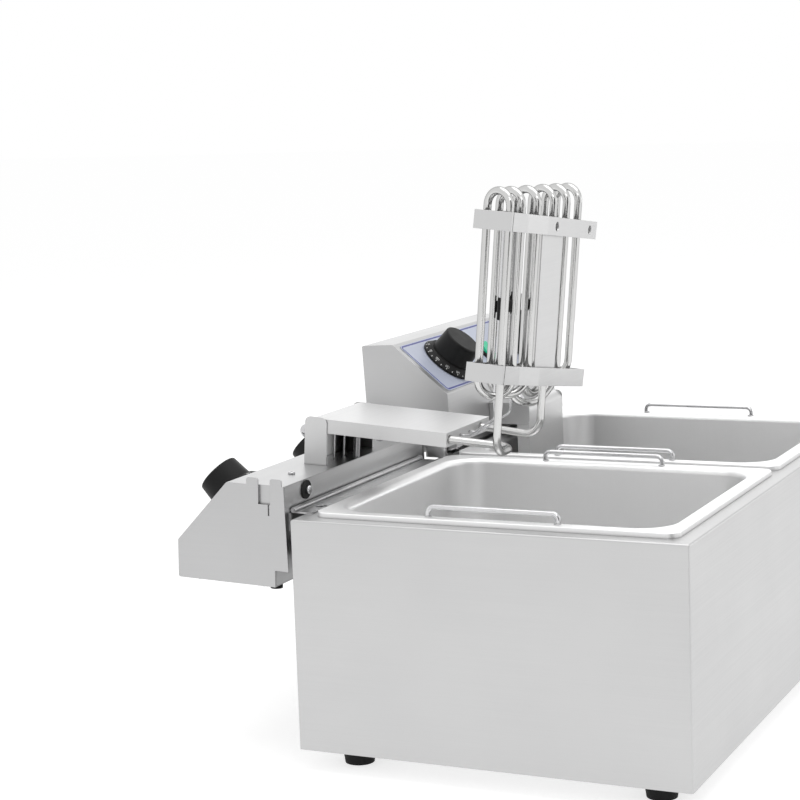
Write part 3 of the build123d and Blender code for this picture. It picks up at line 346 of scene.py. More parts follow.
@dataclass(frozen=True)
class SteelFinish:
    """Stainless steel with rolling lines, soft clouds and faint specks, and painted shade darkening its
    colour in gaps.
    """

    name: str
    colour: Colour
    tint: Colour
    roughness: float
    rolling: Rolling
    line_depth: float
    cloud_size: float
    edge: float = 0.95
    gap_reach: float = 3.0 * MM
    gap_shade: float = 0.45
    bend: float = 0.4 * MM
    cloud_share: float = 0.6
    line_spread: float = 0.03
    cloud_spread: float = 0.02
    speck_dull: float = 0.06
    line_height: float = 0.02 * MM

    def make(self, groups: Groups) -> Material:
        """Builds the material.

        Args:
            groups: The shared shader groups.

        Returns:
            The material.
        """
        material, wires, shader, place = new_material(self.name)
        grain = wires.group(groups.grain, Vector=place, Stretch=self.rolling.value).outputs["Lines"]
        marks = wires.group(groups.handling, Vector=place, Size=self.cloud_size)
        clouds = marks.outputs["Clouds"]
        cloud_part = wires.maths("MULTIPLY", clouds, self.cloud_share)
        shade = wires.maths("ADD", cloud_part, wires.maths("MULTIPLY", grain, 1.0 - self.cloud_share))
        sheet = wires.blend(shade, rgba(self.colour), rgba(self.tint))
        # Painted shade: ambient occlusion darkens the base colour in gaps and at joins.
        shaded = wires.group(groups.painted_crevice_shade, Color=sheet, Reach=self.gap_reach, Left=self.gap_shade)
        wires.feed(shader, "Base Color", shaded.outputs["Color"])
        lined = wires.ramp(grain, 0.0, 1.0, -self.line_spread, self.line_spread)
        low, high = self.roughness - self.cloud_spread, self.roughness + self.cloud_spread
        clouded = wires.ramp(clouds, 0.0, 1.0, low, high)
        specked = wires.maths("MULTIPLY", marks.outputs["Specks"], self.speck_dull)
        wires.feed(shader, "Roughness", wires.maths("ADD", wires.maths("ADD", lined, clouded), specked))
        shader.inputs["Metallic"].default_value = 1.0
        shader.inputs["Specular Tint"].default_value = rgba((self.edge,) * 3)
        rounded = wires.add("ShaderNodeBevel", samples=4)
        wires.feed(rounded, "Radius", self.bend)
        bump = wires.add("ShaderNodeBump")
        wires.feed(bump, "Normal", rounded.outputs["Normal"])
        wires.feed(bump, "Strength", self.line_depth)
        wires.feed(bump, "Distance", self.line_height)
        wires.feed(bump, "Height", grain)
        wires.feed(shader, "Normal", bump.outputs["Normal"])
        return material


@dataclass(frozen=True)
class MouldedFinish:
    """Plastic or rubber out of a spark-eroded mould, a little paler where it is rubbed."""

    name: str
    colour: Colour
    rubbed: Colour
    roughness: float
    texture_size: float
    texture_depth: float
    gloss: float = 0.5
    glow: float = 0.0
    rub_size: float = 12.0 * MM
    rub_spread: float = 0.05
    skin_height: float = 0.05 * MM

    def make(self, groups: Groups) -> Material:
        """Builds the material.

        Args:
            groups: The shared shader groups.

        Returns:
            The material.
        """
        material, wires, shader, place = new_material(self.name)
        clouds = wires.group(groups.handling, Vector=place, Size=self.rub_size).outputs["Clouds"]
        wires.feed(shader, "Base Color", wires.blend(clouds, rgba(self.colour), rgba(self.rubbed)))
        low, high = self.roughness - self.rub_spread, self.roughness + self.rub_spread
        wires.feed(shader, "Roughness", wires.ramp(clouds, 0.0, 1.0, low, high))
        skin = wires.noise(place, 1.0 / self.texture_size, 2.0)
        bump = wires.add("ShaderNodeBump")
        wires.feed(bump, "Strength", self.texture_depth)
        wires.feed(bump, "Distance", self.skin_height)
        wires.feed(bump, "Height", skin)
        wires.feed(shader, "Normal", bump.outputs["Normal"])
        shader.inputs["Specular IOR Level"].default_value = self.gloss
        if self.glow:
            shader.inputs["Emission Color"].default_value = rgba(self.colour)
            shader.inputs["Emission Strength"].default_value = self.glow
        return material


@dataclass(frozen=True)
class LabelFinish:
    """Printed film with a dark blue line round it, set to one head's slope."""

    name: str
    film: Colour
    film_cloud: Colour
    ink: Colour
    half_width: float
    half_height: float
    inset: float
    corner: float
    half_line: float
    cloud_size: float = 30.0 * MM
    roughness: tuple[float, float] = (0.34, 0.42)

    def make(self, groups: Groups, panel: Matrix) -> Material:
        """Builds the material for the label of one head.

        Args:
            groups: The shared shader groups.
            panel: The label's middle, with X along the head and Z out of the slope.

        Returns:
            The material.
        """
        material, wires, shader, place = new_material(self.name)
        back = panel.inverted()
        mapping = wires.add("ShaderNodeMapping", vector_type="POINT")
        wires.feed(mapping, "Vector", place)
        mapping.inputs["Location"].default_value = back.to_translation()
        mapping.inputs["Rotation"].default_value = back.to_euler("XYZ")
        line = wires.group(
            groups.frame_line,
            Vector=mapping.outputs["Vector"],
            Half_Width=self.half_width - self.inset,
            Half_Height=self.half_height - self.inset,
            Corner=self.corner,
            Half_Line=self.half_line,
        ).outputs["Line"]
        clouds = wires.group(groups.handling, Vector=place, Size=self.cloud_size).outputs["Clouds"]
        film = wires.blend(clouds, rgba(self.film), rgba(self.film_cloud))
        wires.feed(shader, "Base Color", wires.blend(line, film, rgba(self.ink)))
        wires.feed(shader, "Roughness", wires.ramp(clouds, 0.0, 1.0, *self.roughness))
        return material


STEEL_CABINET = SteelFinish(
    "cabinet_steel",
    colour=grey(0.575),
    tint=grey(0.56, 0.002),
    roughness=0.38,
    rolling=Rolling.LEVEL,
    line_depth=0.15,
    cloud_size=90.0 * MM,
)
# Far paler than the other steel: painted light that brightens the tank's shaded inside.
STEEL_TANK_PAINTED_LIGHT = SteelFinish(
    "tank_steel",
    colour=grey(0.93),
    tint=grey(0.91),
    roughness=0.42,
    rolling=Rolling.UPRIGHT,
    line_depth=0.06,
    cloud_size=60.0 * MM,
)
STEEL_HEAD = SteelFinish(
    "head_steel",
    colour=grey(0.515, 0.002),
    tint=grey(0.50, 0.003),
    roughness=0.36,
    rolling=Rolling.LEVEL,
    line_depth=0.15,
    cloud_size=70.0 * MM,
)
STEEL_ARM = SteelFinish(
    "arm_steel",
    colour=grey(0.62),
    tint=grey(0.60, 0.002),
    roughness=0.34,
    rolling=Rolling.ACROSS,
    line_depth=0.12,
    cloud_size=50.0 * MM,
)
STEEL_HINGE = SteelFinish(
    "hinge_steel",
    colour=grey(0.56, 0.005),
    tint=grey(0.50, 0.005),
    roughness=0.30,
    rolling=Rolling.ACROSS,
    line_depth=0.20,
    cloud_size=20.0 * MM,
)
STEEL_ELEMENT = SteelFinish(
    "element_steel",
    colour=grey(0.64, -0.005),
    tint=grey(0.61, -0.005),
    roughness=0.15,
    rolling=Rolling.DRAWN,
    line_depth=0.02,
    cloud_size=30.0 * MM,
    edge=0.3,
    gap_shade=0.7,
)
STEEL_POLISHED = SteelFinish(
    "polished_steel",
    colour=grey(0.68, 0.01),
    tint=grey(0.62, 0.01),
    roughness=0.14,
    rolling=Rolling.DRAWN,
    line_depth=0.05,
    cloud_size=20.0 * MM,
)
STEEL_FASTENER = SteelFinish(
    "fastener_steel",
    colour=grey(0.62, 0.01),
    tint=grey(0.54, 0.01),
    roughness=0.22,
    rolling=Rolling.DRAWN,
    line_depth=0.10,
    cloud_size=10.0 * MM,
)
BLACK_PLASTIC = MouldedFinish(
    "black_plastic",
    colour=grey(0.008),
    rubbed=grey(0.013),
    roughness=0.5,
    texture_size=0.5 * MM,
    texture_depth=0.25,
    gloss=0.2,
)
GREY_PLASTIC = MouldedFinish(
    "grey_plastic",
    colour=grey(0.26, 0.01),
    rubbed=grey(0.30, 0.01),
    roughness=0.55,
    texture_size=0.6 * MM,
    texture_depth=0.20,
)
GREEN_PLASTIC = MouldedFinish(
    "green_plastic",
    colour=(0.02, 0.50, 0.27),
    rubbed=(0.04, 0.56, 0.32),
    roughness=0.18,
    texture_size=0.8 * MM,
    texture_depth=0.05,
    glow=0.25,
)
RUBBER = MouldedFinish(
    "rubber",
    colour=grey(0.012),
    rubbed=grey(0.022),
    roughness=0.72,
    texture_size=0.4 * MM,
    texture_depth=0.35,
    gloss=0.25,
)
# Painted shadow: a near-black finish for the thin strips that stand for the shaded clamp gaps.
PAINTED_GAP_SHADOW = MouldedFinish(
    "painted_gap_shadow",
    colour=grey(0.05),
    rubbed=grey(0.07),
    roughness=0.7,
    texture_size=0.5 * MM,
    texture_depth=0.10,
    gloss=0.1,
)
DIAL_PRINT = MouldedFinish(
    "dial_print",
    colour=grey(0.78, -0.01),
    rubbed=grey(0.66, -0.01),
    roughness=0.55,
    texture_size=0.3 * MM,
    texture_depth=0.15,
)
LABEL_PRINT = LabelFinish(
    "label_print",
    film=(0.53, 0.57, 0.69),
    film_cloud=(0.56, 0.60, 0.72),
    ink=(0.06, 0.07, 0.30),
    half_width=149.5 * MM,
    half_height=37.0 * MM,
    inset=2.2 * MM,
    corner=3.6 * MM,
    half_line=1.05 * MM,
)

NODE_FINISH: dict[str, SteelFinish | MouldedFinish] = {
    "cabinet_shell": STEEL_CABINET,
    "base_plate": STEEL_CABINET,
    "inner_support": STEEL_CABINET,
    "rubber_feet": RUBBER,
    "foot_screws": STEEL_FASTENER,
    "stop_buffers": RUBBER,
    "tank_handles": STEEL_POLISHED,
    "hinge_fixed_leaves": STEEL_HINGE,
    "hinge_pins": STEEL_FASTENER,
    "tank": STEEL_TANK_PAINTED_LIGHT,
    "casing": STEEL_HEAD,
    "side_plates": STEEL_HEAD,
    # Painted light: the bottom plate takes the paler arm steel to make up for light it lacks from below.
    "bottom_plate": STEEL_ARM,
    "hinge_leaf": STEEL_HINGE,
    "knob": BLACK_PLASTIC,
    "timer_knob": BLACK_PLASTIC,
    "regulators": GREY_PLASTIC,
    "switch_housing": BLACK_PLASTIC,
    "rocker": GREEN_PLASTIC,
    "plunger": STEEL_POLISHED,
    "grommet": RUBBER,
    "microswitch": GREY_PLASTIC,
    "limiter": GREY_PLASTIC,
    "terminal_block": GREY_PLASTIC,
    "cable_gland": BLACK_PLASTIC,
    "bumpers": RUBBER,
    "screws": STEEL_FASTENER,
    "arm": STEEL_ARM,
    "arm_bolts": STEEL_FASTENER,
    "element": STEEL_ELEMENT,
    "clamps": STEEL_ARM,
    "guard_plate": STEEL_ARM,
    "sensors": STEEL_POLISHED,
}


@dataclass
class Paintbox:
    """Makes each finish once and puts it on pieces."""

    groups: Groups = field(default_factory=Groups)
    made: dict[str, Material] = field(default_factory=dict)

    def material(self, finish: SteelFinish | MouldedFinish) -> Material:
        """The material of a finish, made on first use."""
        if finish.name not in self.made:
            self.made[finish.name] = finish.make(self.groups)
        return self.made[finish.name]

    def dress(self, piece: Piece, material: Material) -> None:
        """Puts one material on a piece.

        Args:
            piece: The piece.
            material: Its only material.
        """
        piece.data.materials.clear()
        piece.data.materials.append(material)

    def dress_nodes(self, nodes: dict[str, Piece]) -> None:
        """Dresses every solid of the frame, apart from the labels.

        Args:
            nodes: The frame's solids by name.
        """
        for name, piece in nodes.items():
            kind = name
            for side in Side:
                kind = kind.removeprefix(side.value + "_")
            if kind in NODE_FINISH:
                self.dress(piece, self.material(NODE_FINISH[kind]))


# Modelling helpers


def clear_selection() -> None:
    """Leaves nothing selected."""
    bpy.ops.object.select_all(action="DESELECT")


def activate(piece: Piece) -> None:
    """Selects one piece and makes it active."""
    clear_selection()
    piece.select_set(True)
    bpy.context.view_layer.objects.active = piece


def newest() -> Piece:
    """The piece that an operator has just made."""
    return bpy.context.view_layer.objects.active


class Pick(Enum):
    """What is selected in edit mode."""

    FACES = "FACE"
    EDGES = "EDGE"


def pick(
    piece: Piece, kind: Pick, wanted: Callable[[bmesh.types.BMFace | bmesh.types.BMEdge], bool]
) -> None:
    """Selects faces or edges of the piece in edit mode.

    Args:
        piece: The piece, in edit mode.
        kind: Whether faces or edges are selected.
        wanted: Says whether a face or an edge is selected.
    """
    bpy.ops.mesh.select_mode(type=kind.value)
    mesh = bmesh.from_edit_mesh(piece.data)
    for element in mesh.faces if kind is Pick.FACES else mesh.edges:
        element.select_set(bool(wanted(element)))
    mesh.select_flush_mode()
    bmesh.update_edit_mesh(piece.data)


def block(size: Triple, middle: Triple = (0.0, 0.0, 0.0), edge: float = 0.0, steps: int = 2) -> Piece:
    """A box, with rounded edges where an edge is given.

    Args:
        size: Its size along X, Y and Z.
        middle: Where its middle is.
        edge: The width of its rounded edges.
        steps: How many faces round an edge.

    Returns:
        The box.
    """
    clear_selection()
    bpy.ops.mesh.primitive_cube_add(size=1.0, location=middle)
    box = newest()
    box.scale = size
    bpy.ops.object.transform_apply(location=False, rotation=False, scale=True)
    if edge:
        bpy.ops.object.mode_set(mode="EDIT")
        bpy.ops.mesh.select_all(action="SELECT")
        bpy.ops.mesh.bevel(offset=edge, segments=steps)
        bpy.ops.object.mode_set(mode="OBJECT")
    return box


def settle(piece: Piece, name: str, angle: float = 40.0) -> Piece:
    """Puts a piece's place into its mesh, points its faces outwards and smooths it.

    Args:
        piece: The piece.
        name: Its new name.
        angle: Edges sharper than this many degrees stay sharp.

    Returns:
        The piece.
    """
    activate(piece)
    bpy.ops.object.transform_apply(location=True, rotation=True, scale=True)
    bpy.ops.object.mode_set(mode="EDIT")
    bpy.ops.mesh.select_all(action="SELECT")
    bpy.ops.mesh.normals_make_consistent(inside=False)
    bpy.ops.object.mode_set(mode="OBJECT")
    bpy.ops.object.shade_smooth_by_angle(angle=math.radians(angle))
    piece.name = name
    piece.data.name = name
    return piece


def copies(model: Piece, places: Iterable[Matrix]) -> list[Piece]:
    """Copies a model to each place, each copy with its own mesh, and removes the model.

    Args:
        model: The piece that repeats.
        places: Where the copies go.

    Returns:
        The copies.
    """
    made = []
    for place in places:
        twin = model.copy()
        twin.data = model.data.copy()
        bpy.context.scene.collection.objects.link(twin)
        twin.matrix_world = place
        made.append(twin)
    bpy.data.objects.remove(model)
    return made


def joined(pieces: list[Piece], name: str) -> Piece:
    """Joins pieces into one with its place in its mesh.

    Args:
        pieces: The pieces.
        name: The joined piece's name.

    Returns:
        The joined piece.
    """
    clear_selection()
    for piece in pieces:
        piece.select_set(True)
    bpy.context.view_layer.objects.active = pieces[0]
    bpy.ops.object.join()
    return settle(newest(), name)


def cut(piece: Piece, cutter: Piece) -> None:
    """Cuts one piece out of another and removes the cutter.

    Args:
        piece: The piece that is cut.
        cutter: The shape that is taken away.
    """
    activate(piece)
    change = piece.modifiers.new("cut", "BOOLEAN")
    change.operation = "DIFFERENCE"
    change.solver = "EXACT"
    change.object = cutter
    bpy.ops.object.modifier_apply(modifier=change.name)
    bpy.data.objects.remove(cutter)


# Places


@dataclass(frozen=True)
class HeadSizes:
    """The sizes of a control head that its details are set out from, in metres."""

    height: float = 115.5 * MM
    depth: float = 97.3 * MM
    top_depth: float = 36.8 * MM
    front_height: float = 61.0 * MM
    hinge_from_back: float = 73.0 * MM
    hinge_below: float = 3.0 * MM
    tilt: float = math.radians(2.7)
    lift: float = math.radians(85.3)
    label_middle: float = 41.5 * MM
    knob_down: float = 42.0 * MM
    leg_forward: float = 62.5 * MM
    leg_up: float = 29.0 * MM
    row_up: float = -165.0 * MM
    arm_turn: float = math.radians(0.7)
    run_turn: float = math.radians(1.3)


@dataclass
class HeadPlace:
    """Where one control head stands at rest."""

    side: Side
    sizes: HeadSizes = field(default_factory=HeadSizes)

    def hinge(self) -> Vector:
        """The middle of the head's hinge line, from the frame's joint."""
        name = f"{self.side.value}_head_tip"
        joint = next(j for j in frame["joints"] if j["name"] == name)
        return Vector(joint["pos_m"])

    def box(self) -> Matrix:
        """The head's own frame: X along it, Y to its back, Z up, from the hinge line."""
        lift = self.sizes.lift if self.side is Side.LEFT else 0.0
        turn = Matrix.Rotation(-lift - self.sizes.tilt, 4, "X")
        return Matrix.Translation(self.hinge()) @ turn

    def arm(self) -> Matrix:
        """The arm's frame: as the head's own, but level when the head is lowered."""
        return self.box() @ Matrix.Rotation(self.sizes.tilt, 4, "X")

    def runs(self) -> Matrix:
        """The frame of the element's runs: the arm's, with the lean of the arm and of the runs."""
        size = self.sizes
        turned = self.arm()
        for up, angle in ((size.leg_up, -size.arm_turn), (size.row_up, size.run_turn)):
            pivot = Matrix.Translation((0.0, -size.leg_forward, up))
            turned = turned @ pivot @ Matrix.Rotation(angle, 4, "X") @ pivot.inverted()
        return turned

    def panel(self, x: float, down: float) -> Matrix:
        """A place on the slope.

        Args:
            x: How far along the head.
            down: How far down the slope from its upper edge.

        Returns:
            The place, with Y up the slope and Z out of it.
        """
        size = self.sizes
        slope = math.atan2(size.height - size.front_height, size.depth - size.top_depth)
        corner = (0.0, size.hinge_from_back - size.top_depth, size.height + size.hinge_below)
        on_slope = Matrix.Translation(corner) @ Matrix.Rotation(slope, 4, "X")
        return self.box() @ on_slope @ Matrix.Translation((x, -down, 0.0))

    def face(self, x: float, height: float, front: bool) -> Matrix:
        """A place on the head's front or back, with Z pointing out.

        Args:
            x: How far along the head.
            height: How far above the head's bottom.
            front: Whether it is the front.

        Returns:
            The place.
        """
        size = self.sizes
        y = size.hinge_from_back - (size.depth if front else 0.0)
        spot = Matrix.Translation((x, y, height + size.hinge_below))
        turn = Matrix.Rotation(math.radians(90 if front else -90), 4, "X")
        return self.box() @ spot @ turn


# Details


@dataclass
class PanScrews:
    """Cross-recessed pan screws on a head's front and back."""

    head_radius: float = 3.4 * MM
    head_height: float = 2.2 * MM
    shank_radius: float = 1.7 * MM
    shank_length: float = 6.0 * MM
    edge: float = 1.1 * MM
    slot_long: float = 3.9 * MM
    slot_wide: float = 0.75 * MM
    slot_deep: float = 1.3 * MM
    slot_taper: Triple = (0.55, 0.8, 1.0)
    turn_step: float = 0.7
    front_x: float = 98.0 * MM
    front_height: float = 23.0 * MM
    back_x: float = 149.0 * MM
    back_heights: tuple[float, ...] = (26.0 * MM, 74.0 * MM, 96.0 * MM)

    def model(self) -> Piece:
        """One screw, standing on the origin.

        Returns:
            The screw.
        """
        clear_selection()
        middle = (0.0, 0.0, self.head_height / 2)
        bpy.ops.mesh.primitive_cylinder_add(
            vertices=32, radius=self.head_radius, depth=self.head_height, location=middle
        )
        screw = newest()
        bpy.ops.object.transform_apply(location=True)
        bpy.ops.object.mode_set(mode="EDIT")
        top = self.head_height - 0.01 * MM
        pick(screw, Pick.EDGES, lambda edge: all(v.co.z > top for v in edge.verts))
        bpy.ops.mesh.bevel(offset=self.edge, segments=4, profile=0.5)
        pick(screw, Pick.FACES, lambda face: face.normal.z < -0.9)
        bpy.ops.mesh.inset(thickness=self.head_radius - self.shank_radius)
        bpy.ops.mesh.extrude_region_move(TRANSFORM_OT_translate={"value": (0, 0, -self.shank_length)})
        bpy.ops.object.mode_set(mode="OBJECT")
        for turn in (0.0, math.pi / 2):
            cut(screw, self.slot(turn))
        return screw

    def slot(self, turn: float) -> Piece:
        """The cutter for one bar of the cross recess, narrower at its bottom.

        Args:
            turn: Its angle about the screw's axis.

        Returns:
            The cutter.
        """
        clear_selection()
        height = self.slot_deep * 2
        bpy.ops.mesh.primitive_cube_add(size=1.0, location=(0, 0, self.head_height), rotation=(0, 0, turn))
        cutter = newest()
        cutter.scale = (self.slot_long, self.slot_wide, height)
        bpy.ops.object.transform_apply(location=False, rotation=False, scale=True)
        bpy.ops.object.mode_set(mode="EDIT")
        pick(cutter, Pick.FACES, lambda face: face.normal.z < -0.9)
        bpy.ops.transform.resize(value=self.slot_taper)
        bpy.ops.object.mode_set(mode="OBJECT")
        return cutter

    def build(self, place: HeadPlace, paint: Paintbox) -> Piece:
        """Sets the screws into a head.

        Args:
            place: The head.
            paint: The finishes.

        Returns:
            The screws as one piece.
        """
        places = [place.face(x, self.front_height, True) for x in (-self.front_x, self.front_x)]
        for x in (-self.back_x, self.back_x):
            places += [place.face(x, height, False) for height in self.back_heights]
        turned = [spot @ Matrix.Rotation(self.turn_step * n, 4, "Z") for n, spot in enumerate(places)]
        name = f"{place.side.value}_pan_screws"
        piece = joined(copies(self.model(), turned), name)
        paint.dress(piece, paint.material(STEEL_FASTENER))
        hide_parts(f"{place.side.value}_screws")
        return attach(piece, f"{place.side.value}_head")


@dataclass
class DialScale:
    """White numbers and ticks printed on a knob's conical skirt."""

    body: str = "knob"
    x: float = -87.0 * MM
    low: float = 1.6 * MM
    edge: float = 1.6 * MM
    height: float = 7.5 * MM
    radius: float = 31.5 * MM
    top_radius: float = 26.0 * MM
    step: float = math.radians(14.0)
    numbers: tuple[str, ...] = ("60", "80", "100", "120", "140", "160", "180", "200")
    digit: float = 3.6 * MM
    tick_long: float = 1.7 * MM
    tick_wide: float = 0.9 * MM
    tick_round: float = 0.4
    ink: float = 0.06 * MM
    tick_from_edge: float = 1.6 * MM
    number_from_edge: float = 4.3 * MM

    def lay(self, piece: Piece, angle: float, from_edge: float) -> None:
        """Wraps a flat mark round the skirt, with its foot towards the grip.

        Args:
            piece: The mark, flat on X and Y about the origin.
            angle: Where it goes, anticlockwise from the top.
            from_edge: How far up the cone from its outer edge its middle lies.
        """
        rise = self.height - self.edge
        run = self.radius - self.top_radius
        slant = math.hypot(rise, run)
        out_z, out_r = rise / slant, run / slant
        for vertex in piece.data.vertices:
            up_cone = from_edge - vertex.co.y
            around = self.radius - up_cone * out_r
            turn = angle - vertex.co.x / (self.radius - from_edge * out_r)
            radius = around + vertex.co.z * out_z
            z = self.low + self.edge + up_cone * out_z + vertex.co.z * out_r
            vertex.co = Vector((-radius * math.sin(turn), radius * math.cos(turn), z))

    def number(self, text: str, angle: float) -> Piece:
        """One number on the skirt.

        Args:
            text: The number.
            angle: Where it goes.

        Returns:
            The number as a mesh.
        """
        clear_selection()
        bpy.ops.object.text_add()
        words = newest()
        words.data.body = text
        words.data.size = self.digit
        words.data.align_x = "CENTER"
        words.data.align_y = "CENTER"
        words.data.extrude = self.ink
        words.data.resolution_u = 4
        bpy.ops.object.convert(target="MESH")
        words = newest()
        self.lay(words, angle, self.number_from_edge)
        return words

    def tick(self, angle: float) -> Piece:
        """One tick on the skirt, with rounded ends.

        Args:
            angle: Where it goes.

        Returns:
            The tick as a mesh.
        """
        mark = block((self.tick_wide, self.tick_long, 2 * self.ink))
        bpy.ops.object.mode_set(mode="EDIT")
        pick(mark, Pick.EDGES, lambda edge: abs(edge.verts[0].co.z - edge.verts[1].co.z) > self.ink)
        bpy.ops.mesh.bevel(offset=self.tick_wide * self.tick_round, segments=3)
        bpy.ops.object.mode_set(mode="OBJECT")
        self.lay(mark, angle, self.tick_from_edge)
        return mark

    def build(self, place: HeadPlace, paint: Paintbox) -> Piece:
        """Prints the scale on one knob.

        Args:
            place: The head that carries the knob.
            paint: The finishes.

        Returns:
            The scale as one piece.
        """
        marks = [self.tick(self.step * n) for n in range(0, 2 * len(self.numbers) + 1)]
        marks += [self.number(text, self.step * 2 * (n + 1)) for n, text in enumerate(self.numbers)]
        knob = place.panel(self.x, place.sizes.knob_down)
        for mark in marks:
            mark.matrix_world = knob
        piece = joined(marks, f"{place.side.value}_{self.body}_scale")
        paint.dress(piece, paint.material(DIAL_PRINT))
        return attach(piece, f"{place.side.value}_{self.body}")


@dataclass
class StudThread:
    """The thread on the stud between a head's front and its arm."""

    x: float = 5.5 * MM
    height: float = 8.5 * MM
    start: float = 24.4 * MM
    turns: int = 25
    pitch: float = 1.0 * MM
    radius: float = 3.0 * MM
    crest: float = 0.34 * MM

    def build(self, place: HeadPlace, paint: Paintbox) -> Piece:
        """Cuts the thread on one head's stud.

        Args:
            place: The head.
            paint: The finishes.

        Returns:
            The thread as one piece.
        """
        clear_selection()
        bpy.ops.mesh.primitive_torus_add(
            major_radius=self.radius, minor_radius=self.crest, major_segments=28, minor_segments=6
        )
        ring = newest()
        lie = Matrix.Rotation(math.pi / 2, 4, "X")
        spots = [(self.x, -self.start - self.pitch * n, self.height) for n in range(self.turns)]
        places = [place.arm() @ Matrix.Translation(spot) @ lie for spot in spots]
        piece = joined(copies(ring, places), f"{place.side.value}_stud_thread")
        paint.dress(piece, paint.material(STEEL_FASTENER))
        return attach(piece, f"{place.side.value}_head")


@dataclass
class SensorClip:
    """The black clip that ties the two sensor bulbs together halfway along the element."""

    bulbs: tuple[float, float] = (-49.5 * MM, -10.0 * MM)
    height: float = -161.35 * MM
    forward: float = 194.0 * MM
    ring_radius: float = 3.9 * MM
    ring_long: float = 21.0 * MM
    strap_long: float = 11.0 * MM
    strap_thick: float = 1.2 * MM
    edge: float = 0.4 * MM

    def ring(self, x: float) -> Piece:
        """The clip's sleeve round one bulb.

        Args:
            x: The bulb's place along the head.

        Returns:
            The sleeve.
        """
        clear_selection()
        lying = (math.pi / 2, 0.0, 0.0)
        bpy.ops.mesh.primitive_cylinder_add(
            vertices=32, radius=self.ring_radius, depth=self.ring_long, location=(x, 0.0, 0.0), rotation=lying
        )
        sleeve = newest()
        bpy.ops.object.mode_set(mode="EDIT")
        half = self.ring_long / 2 - self.edge
        pick(sleeve, Pick.EDGES, lambda edge: min(abs(v.co.z) for v in edge.verts) > half)
        bpy.ops.mesh.bevel(offset=self.edge, segments=2)
        bpy.ops.object.mode_set(mode="OBJECT")
        return sleeve

    def strap(self) -> Piece:
        """The strap between the two sleeves.

        Returns:
            The strap.
        """
        size = (self.bulbs[1] - self.bulbs[0], self.strap_long, self.strap_thick)
        return block(size, (sum(self.bulbs) / 2, 0.0, 0.0), self.edge)

    def build(self, place: HeadPlace, paint: Paintbox) -> Piece:
        """Sets the clip on one head's sensor bulbs.

        Args:
            place: The head.
            paint: The finishes.

        Returns:
            The clip as one piece.
        """
        pieces = [self.ring(x) for x in self.bulbs] + [self.strap()]
        spot = place.runs() @ Matrix.Translation((0.0, -self.forward, self.height))
        for piece in pieces:
            piece.matrix_world = spot @ piece.matrix_world
        clip = joined(pieces, f"{place.side.value}_sensor_clip")
        paint.dress(clip, paint.material(BLACK_PLASTIC))
        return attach(clip, f"{place.side.value}_head")


@dataclass
class ClampGapShadows:
    """Painted shadow: a thin dark strip on each clamp, in the gap where its strip laps the end wall."""

    middle: float = 10.5 * MM
    x: float = -87.2 * MM
    height: float = -183.25 * MM
    wide: float = 0.9 * MM
    long: float = 17.5 * MM
    thick: float = 0.1 * MM
    clamps: tuple[tuple[float, float], ...] = (
        (124.0 * MM, math.radians(8.3)),
        (269.0 * MM, math.radians(6.2)),
    )

    def build(self, place: HeadPlace, paint: Paintbox) -> Piece:
        """Lays the painted gap shadows on one head's clamps.

        Args:
            place: The head.
            paint: The finishes.

        Returns:
            The painted shadows as one piece.
        """
        line = block((self.wide, self.long, self.thick))
        spots = []
        for forward, askew in self.clamps:
            pivot = Matrix.Translation((self.middle, -forward, 0.0)) @ Matrix.Rotation(askew, 4, "Z")
            spots.append(place.runs() @ pivot @ Matrix.Translation((self.x - self.middle, 0.0, self.height)))
        piece = joined(copies(line, spots), f"{place.side.value}_clamp_gap_shadows")
        paint.dress(piece, paint.material(PAINTED_GAP_SHADOW))
        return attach(piece, f"{place.side.value}_head")


@dataclass
class HandleWelds:
    """The weld beads where the wire handles stand on the tank rims."""

    pitch: float = 330.0 * MM
    rim_half: float = 158.0 * MM
    inset: float = 10.0 * MM
    half_span: float = 63.5 * MM
    rim_top: float = 245.0 * MM
    tank_middle: float = -70.3 * MM
    bead_ring: float = 2.5 * MM
    bead_thick: float = 0.9 * MM
    lump: float = 0.22
    lumps: int = 7
    swells: int = 2

    def model(self) -> Piece:
        """One bead, a little lumpy.

        Returns:
            The bead, about the origin.
        """
        clear_selection()
        bpy.ops.mesh.primitive_torus_add(
            major_radius=self.bead_ring, minor_radius=self.bead_thick, major_segments=28, minor_segments=10
        )
        bead = newest()
        for vertex in bead.data.vertices:
            turn = math.atan2(vertex.co.y, vertex.co.x)
            vertex.co.z *= 1.0 + self.lump * math.sin(self.lumps * turn) * math.cos(self.swells * turn)
        return bead

    def build(self, paint: Paintbox) -> Piece:
        """Sets a bead round each handle's foot.

        Args:
            paint: The finishes.

        Returns:
            The beads as one piece.
        """
        places = []
        for tank in (-1, 1):
            for hand in (-1, 1):
                x = tank * self.pitch / 2 + hand * (self.rim_half - self.inset)
                for end in (-1, 1):
                    spot = (x, self.tank_middle + end * (self.half_span - self.bead_thick), self.rim_top)
                    places.append(Matrix.Translation(spot))
        piece = joined(copies(self.model(), places), "handle_welds")
        paint.dress(piece, paint.material(STEEL_HINGE))
        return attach(piece, "cabinet")


